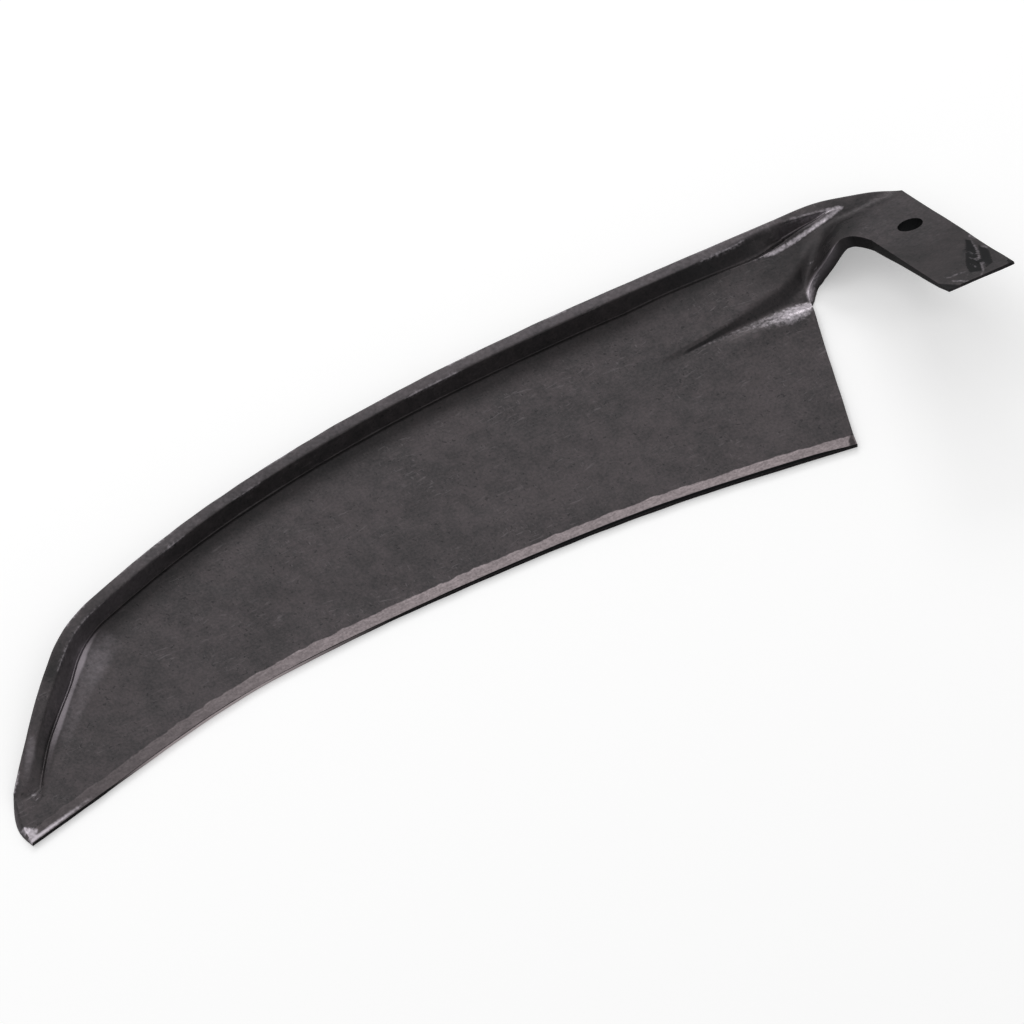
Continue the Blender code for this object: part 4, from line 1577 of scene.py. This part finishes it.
@dataclass(frozen=True)
class Handling:
    """Where the blade has been rubbed or ground, and where light and shade are painted on it.

    Attributes:
        marks: Lines and flats seen from above.
        bands: Wear and painted highlights along the form's own lines: the neck's inner arris, the rim's two arrises and
            its top, and painted shade at the groove's foot and on the web beside it.
    """

    marks: tuple[Trace | Facet, ...] = (
        # The lip's bevel at the heel: a painted highlight, partly bare metal
        Trace(Mask.BARE, (
            (361, 76.3, 0.4, 0.0), (372, 76.2, 0.7, 0.12), (386, 75.4, 1.2, 0.12), (394, 74.4, 2.0, 0.18),
            (402, 72.8, 3.2, 0.28), (409, 71.2, 4.0, 0.45), (414, 70.8, 3.7, 0.5), (418, 71.4, 2.2, 0.5),
        )),
        # The crest beside the groove's end, and the groove's upper side: bare and rubbed lines that are partly painted
        # highlight, and painted black shade in the groove
        Trace(Mask.BARE, (
            (404, 102.2, 0.5, 0.0), (413, 101.2, 0.8, 0.25), (418, 100.3, 1.0, 0.5), (425, 101.0, 1.1, 0.5),
            (436, 102.1, 1.1, 0.45), (446, 102.2, 1.1, 0.45), (453, 102.8, 0.8, 0.35),
        )),
        Trace(Mask.BARE, (
            (426, 108.9, 0.6, 0.0), (434, 108.2, 0.9, 0.32), (445, 105.2, 0.9, 0.4), (453, 103.2, 0.9, 0.4),
        )),
        Trace(Mask.RUB, (
            (418, 107.5, 1.5, 0.0), (426, 107.2, 1.8, 0.3), (435, 105.8, 1.8, 0.36), (444, 104.2, 1.5, 0.4),
            (451, 103.2, 1.0, 0.35),
        )),
        Trace(Mask.SOOT, (
            (384, 107.6, 1.2, 0.0), (396, 108.2, 1.5, 0.5), (408, 108.7, 1.6, 0.6), (416, 108.6, 1.4, 0.45),
            (422, 108.4, 1.0, 0.0),
        )),
        # The neck's inner edge: bare metal, partly painted highlight
        Trace(Mask.BARE, (
            (420.2, 73.0, 0.8, 0.15), (421.3, 76.5, 1.2, 0.36), (424, 79.4, 0.9, 0.3), (429, 80.9, 0.5, 0.15),
            (435.7, 81.9, 0.4, 0.0),
        )),
        Trace(Mask.BARE, ((429.2, 88.2, 0.5, 0.3), (429.6, 87.8, 0.5, 0.3))),
        Trace(Mask.BARE, ((428.5, 83.8, 0.5, 0.3), (428.9, 83.4, 0.5, 0.3))),
        # The fold above the crease, in painted black shade up to the neck
        Trace(Mask.SOOT, (
            (360, 77.0, 0.3, 0.0), (363, 77.1, 0.6, 0.7), (372, 77.4, 0.7, 0.7), (386, 78.2, 1.0, 0.5),
            (396, 79.0, 1.7, 0.35), (404, 79.7, 2.4, 0.45), (411, 80.3, 2.8, 0.5), (418, 82.0, 3.0, 0.5),
            (424, 85.0, 2.8, 0.4), (431, 89.5, 2.6, 0.25), (438, 94.5, 2.6, 0.0),
        )),
        # The neck and the tang: painted shade, with painted light on the tang's upper part and painted shade on its
        # lower part
        Trace(Mask.SHADE, (
            (420, 86, 5.0, 0.0), (426, 90, 8.0, 0.15), (434, 92, 9.0, 0.2), (441, 92, 9.0, 0.4),
            (446, 94, 10.0, 0.6), (452, 98, 9.0, 0.5), (458, 94, 6.0, 0.2), (463, 88, 5.0, 0.0),
        )),
        Trace(Mask.SHADE, (
            (392, 95, 5.0, 0.0), (404, 93, 6.0, 0.25), (412, 91, 6.0, 0.4), (424, 92.5, 7.0, 0.45),
            (433, 97, 6.5, 0.55), (441, 99, 5.5, 0.45), (449, 99.5, 4.5, 0.2), (454, 99, 4.0, 0.0),
        )),
        Trace(Mask.SHADE, (
            (455, 102.5, 3.5, 0.0), (462, 100.5, 4.5, 0.55), (470, 98.8, 4.5, 0.35), (480, 96.5, 4.0, 0.0),
        )),
        Trace(Mask.RUB, ((466, 93, 16.0, 0.0), (466, 85, 20.0, 0.14), (466, 68, 20.0, 0.13), (466, 56, 20.0, 0.0))),
        Trace(Mask.SHADE, ((466, 62, 20.0, 0.0), (466, 48, 20.0, 0.22), (466, 34, 20.0, 0.25), (466, 8, 20.0, 0.0))),
        # The toe: painted highlights on the crest, beside it and on part of its rim, painted shade on its rim further
        # on, and bare metal with painted highlights along its edge and on its end
        Trace(Mask.RUB, (
            (82, 81.4, 0.8, 0.0), (74.6, 78.0, 1.2, 0.4), (68, 73.6, 1.8, 0.85), (63.8, 69.8, 2.1, 1.0),
            (59.5, 65.6, 1.8, 0.85), (53.7, 59.8, 1.6, 0.65), (47, 53.6, 1.7, 0.8), (40.7, 47.4, 1.7, 0.75),
            (34.5, 41.2, 1.5, 0.5), (28.6, 34.9, 1.2, 0.2), (20.6, 24.6, 0.8, 0.1), (16, 17, 0.6, 0.0),
        )),
        Trace(Mask.RUB, (
            (84, 77, 4.0, 0.0), (77, 73.5, 6.0, 0.2), (70, 68, 7.0, 0.3), (64, 62.5, 6.0, 0.28),
            (57, 56.5, 4.5, 0.2), (48, 48.5, 4.0, 0.22), (39, 40, 3.2, 0.16), (31, 32, 2.4, 0.0),
        )),
        Trace(Mask.RUB, ((66, 67, 4.0, 0.0), (73, 70, 5.0, 0.16), (80, 70, 5.0, 0.12), (88, 73, 4.0, 0.0))),
        Trace(Mask.RUB, ((26.5, 45.6, 1.2, 0.0), (24, 42, 1.9, 0.3), (20.5, 37, 2.0, 0.36), (14, 29, 1.8, 0.15))),
        Trace(Mask.SHADE, ((40, 59, 2.4, 0.0), (47.4, 65.9, 2.6, 0.55), (57, 74.8, 2.6, 0.5), (68, 82, 2.4, 0.0))),
        Trace(Mask.BARE, ((12.2, 23.2, 0.35, 0.25), (12.6, 17.2, 0.35, 0.25))),
        Trace(Mask.BARE, ((-2, 0.9, 0.7, 1.3), (10, 3.0, 0.65, 1.0), (20, 5.0, 0.5, 0.6), (36, 8.0, 0.3, 0.0))),
        Facet(Mask.BARE, ((-3.2, 5.6), (-1.6, 1.6), (2.6, 2.6), (5.6, 4.6), (0.8, 8.9)), 0.66, 0.8),
        # The edge's corner at the heel, in painted black shade
        Facet(Mask.SOOT, ((398.2, -1.8), (400.2, 5.9), (397.3, 4.6), (395.4, 0.8)), 0.8, 0.5),
        # The tang's end: ridges and scuffs between the hammered flats
        Trace(Mask.BARE, (
            (478.2, 40.5, 0.45, 0.16), (474.8, 29.0, 0.45, 0.26), (471.2, 21.2, 0.45, 0.26),
            (468.6, 14.6, 0.45, 0.26), (465.3, 11.1, 0.45, 0.18),
        )),
        Trace(Mask.BARE, ((479.4, 43.2, 0.9, 0.26), (479.9, 40.0, 0.9, 0.26))),
        Trace(Mask.BARE, ((478.6, 31.6, 0.7, 0.26), (479.2, 29.6, 0.7, 0.26))),
        Trace(Mask.BARE, ((472.4, 33.5, 0.4, 0.1), (472.9, 28.4, 0.5, 0.2))),
        Trace(Mask.BARE, ((469.8, 28.4, 0.4, 0.1), (470.9, 23.6, 0.5, 0.2))),
        Trace(Mask.BARE, ((467.3, 24.3, 0.4, 0.1), (467.9, 18.8, 0.5, 0.2))),
        Trace(Mask.BARE, ((454.6, 21.0, 0.6, 0.12), (458.5, 20.4, 0.7, 0.22), (462.0, 19.4, 0.7, 0.2))),
        Trace(Mask.BARE, ((455.2, 17.0, 0.6, 0.25), (457.6, 14.2, 0.7, 0.3), (459.5, 11.6, 0.7, 0.25))),
    )
    bands: tuple[Band, ...] = (
        # Wear on the neck's inner arris and on the rim, partly painted highlight
        Band(Mask.RUB, "NECK_INNER", 1.0, 1.1, starts=(419.5, 1.5), stops=(442.0, -8.0)),
        Band(Mask.BARE, "RIM_INNER", 0.36, 0.55, ends=(0.74, -0.03), seed=21),
        Band(Mask.BARE, "RIM_OUTER", 0.4, 0.7, ends=(0.74, -0.03), seed=34),
        Band(Mask.RUB, "RIM_MIDDLE", 0.2, 3.2, 1.5, starts=(60.0, 50.0), ends=(0.74, -0.03), gain=(0.06, 200.0, 100.0)),
        # Painted black shade at the groove's foot
        Band(Mask.SOOT, "FOOT", 0.2, 0.5, starts=(18.0, 10.0), ends=(0.70, -0.08)),
        Band(Mask.SHADE, "FOOT", 0.42, 15.6, 12.0, starts=(60.0, 30.0), stops=(418.0, -30.0), level_only=True),
    )


@dataclass(frozen=True)
class Walls:
    """Where painted black shade darkens the forging's steep faces or, at the toe, painted light lightens them.

    A pair is a start and the run after it, which is below 0 where it runs back. The first four read parts of the
    surface's normal. The others are places on the blade, and shares of painted black shade or painted light.
    """

    steep: Pair = (0.72, -0.3)
    leaning: Pair = (0.95, -0.3)
    to_edge: Pair = (0.0, 0.3)
    to_toe: Pair = (0.3, 0.3)
    # Painted light on the toe's steep faces and on the rim's wall beside it
    toe_rub: float = 0.4
    toe_end: Pair = (9.0, -2.0)
    toe_back: float = 27.0
    rim_rub: float = 0.34
    rim_rub_stops: Pair = (150.0, -60.0)
    rim_rub_above: float = 2.8
    # Painted black shade on the rim's wall, the sides of the neck and the tang and the hole's wall
    soot: float = 0.12
    more_soot: tuple[Triple, ...] = ((0.1, 200.0, 100.0), (0.45, 340.0, 40.0))
    soot_starts: Pair = (50.0, 100.0)
    soot_stops: Pair = (420.0, -14.0)
    soot_above: float = 0.8
    behind: Pair = (20.0, 98.0)
    fold_from: float = 340.0
    far_soot: float = 0.7
    far_starts: Pair = (419.0, 2.0)
    far_before: float = 103.0
    hole_soot: float = 0.95
    hole_tilt: float = 0.9
    hole_reach: float = 0.22

    def on_toe(self, points: Array, normals: Array) -> Array:
        """How far points belong to the end of the toe."""
        x, y = points[:, 0], points[:, 1]
        return onset(-normals[:, 0], *self.to_toe) * onset(x, *self.toe_end) * (y < self.toe_back)

    def rub(self, points: Array, normals: Array) -> Array:
        """Paints light onto the steep faces of the toe and of the rim beside it.

        Args:
            points: Points in the blade's millimetres.
            normals: The surface's normals there.

        Returns:
            Painted light at each point.
        """
        x, y, z = points.T
        steep = onset(np.abs(normals[:, 2]), *self.steep)
        rim = onset(-normals[:, 1], *self.to_edge) * onset(x, *self.rim_rub_stops)
        rim *= (y > self.toe_back) * (z > self.rim_rub_above)
        return steep * (self.toe_rub * self.on_toe(points, normals) + self.rim_rub * rim)

    def blacken(self, points: Array, normals: Array, tang: Tang) -> Array:
        """Paints black shade onto the rim's wall, the sides of the neck and the tang and the hole's wall.

        Args:
            points: Points in the blade's millimetres.
            normals: The surface's normals there.
            tang: The tang.

        Returns:
            Painted black shade at each point.
        """
        x, y, z = points.T
        wall = self.soot + sum(more * onset(x, start, run) for more, start, run in self.more_soot)
        wall *= onset(np.abs(normals[:, 2]), *self.leaning) * onset(-normals[:, 1], *self.to_edge)
        wall *= onset(x, *self.soot_starts) * onset(x, *self.soot_stops)
        wall *= (z > self.soot_above) * (y > np.where(x < self.fold_from, *self.behind))
        far = self.far_soot * onset(np.abs(normals[:, 2]), *self.steep) * onset(x, *self.far_starts)
        level = z - float(tang.top(np.array(tang.hole[1])))
        up = y - tang.hole[1]
        off_axis = np.hypot(x - tang.hole[0], up * math.cos(tang.pitch) - level * math.sin(tang.pitch))
        tilted = np.abs(normals @ (0.0, math.sin(tang.pitch), math.cos(tang.pitch))) < self.hole_tilt
        hole = self.hole_soot * tilted * (off_axis < tang.hole_diameter / 2 + self.hole_reach)
        return np.maximum.reduce([wall, far * (y < self.far_before), hole])


@dataclass(frozen=True)
class CutFace:
    """A cut face of the forging, found by its place and by the way that it faces."""

    low: Triple
    high: Triple
    way: Triple
    least: float

    def holds(self, centre: Vector, normal: Vector) -> bool:
        """Whether a face of the mesh belongs to it."""
        inside = all(low < value < high for low, value, high in zip(self.low, centre, self.high))
        return inside and normal.dot(Vector(self.way)) > self.least


@dataclass
class ScytheBlade:
    """The one piece of the object: the forging with its hole, its wear, its painted light and shade and its finishes.
    """

    forging: Forging = field(default_factory=Forging)
    handling: Handling = field(default_factory=Handling)
    steel: BlackenedSteel = field(default_factory=BlackenedSteel)
    cut: ShearedSteel = field(default_factory=ShearedSteel)
    walls: Walls = field(default_factory=Walls)
    hole_flare: float = 0.12
    flare_rise: float = 0.05
    punch_reach: float = 20.0
    sharp_angle: float = math.radians(35.0)
    edge_steps: int = 120
    edge_until: float = 425.0
    off_edge: float = 60.0
    upward: Pair = (0.05, 0.2)

    def build(self, patterns: Patterns) -> bpy.types.Object:
        """Builds the blade and sets it in the frame.

        Args:
            patterns: The shared surface effects.

        Returns:
            The blade's object.
        """
        mesh, lines = self.forging.skin()
        blade = add_object("forged_blade", mesh)
        self.punch(blade)
        blade.data.shade_smooth()
        blade.data.set_sharp_from_angle(angle=self.sharp_angle)
        self.mark(blade.data, lines)
        for finish in (self.steel, self.cut):
            blade.data.materials.append(finish.make(patterns, self.forging.shift))
        self.assign(blade.data)
        level = blade.modifiers.new("level_faces", "WEIGHTED_NORMAL")
        level.keep_sharp = True
        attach(blade, "root")
        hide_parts(NODE)
        return blade

    def punch(self, blade: bpy.types.Object) -> None:
        """Punches the tang's hole with a cutter that flares at the top, for the rubbed rim.

        Args:
            blade: The blade's object.
        """
        tang, radius = self.forging.tang, self.forging.tang.hole_diameter / 2
        wide, reach = radius + self.hole_flare, self.punch_reach
        profile = ((-reach, radius), (-self.hole_flare, radius), (self.flare_rise, wide), (reach, wide))
        angle = np.linspace(0.0, 2.0 * math.pi, tang.hole_sides + 1)[:-1]
        bm = bmesh.new()
        rings = [[bm.verts.new((r * math.cos(a), r * math.sin(a), z)) for a in angle] for z, r in profile]
        for below, above in zip(rings, rings[1:]):
            Forging.band(bm, below, above)
        bm.faces.new(rings[0][::-1])
        bm.faces.new(rings[-1])
        bmesh.ops.recalc_face_normals(bm, faces=bm.faces)
        cutter = add_object("hole_punch", finished(bm, "hole_punch"))
        cutter.scale = (MM, MM, MM)
        cutter.rotation_euler = (-tang.pitch, 0.0, 0.0)
        x, y = tang.hole
        cutter.location = (Vector((x, y, float(tang.top(np.array(y))))) + Vector(self.forging.shift)) * MM
        cut = blade.modifiers.new("tang_hole", "BOOLEAN")
        cut.operation, cut.solver, cut.object = "DIFFERENCE", "EXACT", cutter
        bpy.context.view_layer.update()
        punched = bpy.data.meshes.new_from_object(blade.evaluated_get(bpy.context.evaluated_depsgraph_get()))
        blade.modifiers.remove(cut)
        blade.data = punched
        bpy.data.objects.remove(cutter)

    def mark(self, mesh: bpy.types.Mesh, lines: dict[str, Array]) -> None:
        """Stores the masks that the finish reads.

        Args:
            mesh: The blade's mesh.
            lines: The form's named lines.
        """
        points = read_vectors(mesh.vertices, "co") / MM - np.array(self.forging.shift)
        normals = read_vectors(mesh.vertex_normals, "vector")
        x, y = points[:, 0], points[:, 1]
        edge = spline(self.forging.edge.line, np.linspace(0.0, 1.0, self.edge_steps))[0]
        values = {mask: np.zeros(len(points)) for mask in Mask}
        values[Mask.GROUND] = np.where(x > self.edge_until, self.off_edge, np.abs(beside(x, y, edge)))
        upward = onset(normals[:, 2], *self.upward)
        for mark in (*self.handling.marks, *self.forging.tang.flats):
            values[mark.mask] = np.maximum(values[mark.mask], mark.lay(x, y) * upward)
        # Painted light on the steep faces at the toe
        values[Mask.RUB] += self.walls.rub(points, normals)
        for band in self.handling.bands:
            values[band.mask] = np.maximum(values[band.mask], band.lay(points, normals, lines))
        corner = np.empty(len(mesh.loops), np.int32)
        mesh.loops.foreach_get("vertex_index", corner)
        place = points[corner], read_vectors(mesh.corner_normals, "vector")
        # Painted black shade, kept off the toe's end
        soot = np.maximum(values[Mask.SOOT][corner], self.walls.blacken(*place, self.forging.tang))
        values[Mask.SOOT] = soot * (1.0 - self.walls.on_toe(*place))
        for mask, value in values.items():
            layer = mesh.attributes.new(mask.value, "FLOAT", "CORNER" if mask is Mask.SOOT else "POINT")
            layer.data.foreach_set("value", value.astype(np.float32))

    def assign(self, mesh: bpy.types.Mesh) -> None:
        """Gives the cut faces of the land, the heel and the tang's end their own finish.

        Args:
            mesh: The blade's mesh.
        """
        along_x, along_y = np.array(self.forging.press.notch) - np.array(self.forging.edge.line[-1])
        length = math.hypot(along_x, along_y)
        cuts = (
            CutFace((-10.0, -10.0, -1.0), (402.0, 26.0, 2.1), (0.0, -1.0, 0.0), 0.8),
            CutFace((396.0, -10.0, -1.0), (421.0, 71.5, 20.0), (along_y / length, -along_x / length, 0.0), 0.8),
            CutFace((440.0, -10.0, -1.0), (500.0, 13.0, 80.0), (0.0, -1.0, 0.0), 0.6),
        )
        for face in mesh.polygons:
            centre = face.center / MM - Vector(self.forging.shift)
            face.material_index = int(any(cut.holds(centre, face.normal) for cut in cuts))


@dataclass(frozen=True)
class Lamp:
    """A soft rectangular lamp that points at the blade."""

    name: str
    place: Triple
    size: Pair
    power: float

    def hang(self) -> None:
        """Hangs the lamp."""
        light = bpy.data.lights.new(self.name, "AREA")
        light.shape = "RECTANGLE"
        light.size, light.size_y = self.size
        light.energy = self.power
        lamp = add_object(self.name, light)
        lamp.location = self.place
        lamp.rotation_euler = (-Vector(self.place)).to_track_quat("-Z", "Y").to_euler()


@dataclass
class Studio:
    """A plain pale floor, soft light and the photograph's view."""

    azimuth: float = math.radians(-30.88)
    elevation: float = math.radians(53.91)
    aim: Triple = (0.01845, -0.0134, 0.0)
    view_width: float = 0.42643
    lens: float = 1500.0
    sensor: float = 36.0
    farthest: float = 400.0
    floor_size: float = 120.0
    floor_gap: float = 0.0002
    floor_colour: Colour = (0.82, 0.82, 0.82, 1.0)
    floor_roughness: float = 0.9
    floor_glow: float = 0.3
    world_light: float = 0.55
    world_seen: float = 0.98
    white: Colour = (1.0, 1.0, 1.0, 1.0)
    lamps: tuple[Lamp, ...] = (
        Lamp("key", (-1.0, 1.4, 2.2), (1.8, 1.8), 16.0),
        Lamp("back", (0.78, 2.03, 1.43), (1.8, 0.7), 20.0),
    )

    def build(self) -> None:
        """Sets up the floor, the world, the lamps and the camera."""
        self.lay_floor()
        self.light_world()
        for lamp in self.lamps:
            lamp.hang()
        self.place_camera()
        bpy.context.scene.view_settings.view_transform = "Standard"

    def seen(self, graph: Graph) -> Socket:
        """Adds a mask that is 1 for what the camera, metal and glass see.

        Args:
            graph: The tree that it joins.

        Returns:
            The mask.
        """
        path = graph.add("LightPath").outputs
        seen = graph.math("MAXIMUM", path["Is Camera Ray"], path["Is Glossy Ray"])
        return graph.math("MAXIMUM", seen, path["Is Transmission Ray"])

    def lay_floor(self) -> None:
        """Lays the floor under the blade, with a glow that only the camera, metal and glass see."""
        bm = bmesh.new()
        bmesh.ops.create_grid(bm, x_segments=1, y_segments=1, size=self.floor_size / 2)
        floor = add_object("floor", finished(bm, "floor"))
        floor.location.z = -self.floor_gap
        material = bpy.data.materials.new("pale_floor")
        material.use_nodes = True
        graph, shader = Graph(material.node_tree), material.node_tree.nodes["Principled BSDF"]
        for name, value in (
            ("Base Color", self.floor_colour), ("Roughness", self.floor_roughness),
            ("Specular IOR Level", 0.0), ("Emission Color", self.white),
        ):
            shader.inputs[name].default_value = value
        graph.join((graph.times(self.seen(graph), self.floor_glow), shader.inputs["Emission Strength"]))
        floor.data.materials.append(material)

    def light_world(self) -> None:
        """Makes the world white where it is seen, and a little dimmer as a light."""
        world = bpy.data.worlds.new("studio_world")
        bpy.context.scene.world = world
        world.use_nodes = True
        graph, background = Graph(world.node_tree), world.node_tree.nodes["Background"]
        background.inputs["Color"].default_value = self.white
        more = graph.times(self.seen(graph), self.world_seen - self.world_light)
        graph.join((graph.plus(self.world_light, more), background.inputs["Strength"]))

    def place_camera(self) -> None:
        """Places the camera at the photograph's angle, far away with a long lens."""
        level = math.cos(self.elevation)
        back = Vector((
            math.sin(self.azimuth) * level, -math.cos(self.azimuth) * level, math.sin(self.elevation),
        ))
        data = bpy.data.cameras.new("camera")
        data.lens, data.sensor_width, data.clip_end = self.lens, self.sensor, self.farthest
        camera = add_object("camera", data)
        camera.location = Vector(self.aim) + back * (self.view_width * self.lens / self.sensor)
        camera.rotation_euler = (-back).to_track_quat("-Z", "Y").to_euler()
        bpy.context.scene.camera = camera


def main() -> None:
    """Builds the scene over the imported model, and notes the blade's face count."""
    logging.basicConfig(level=logging.INFO, format="%(message)s")
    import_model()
    blade = ScytheBlade().build(Patterns())
    log.info("%s: %d faces", blade.name, len(blade.data.polygons))
    Studio().build()
    log.info("studio built")
    bpy.context.view_layer.update()


if __name__ == "__main__":
    main()
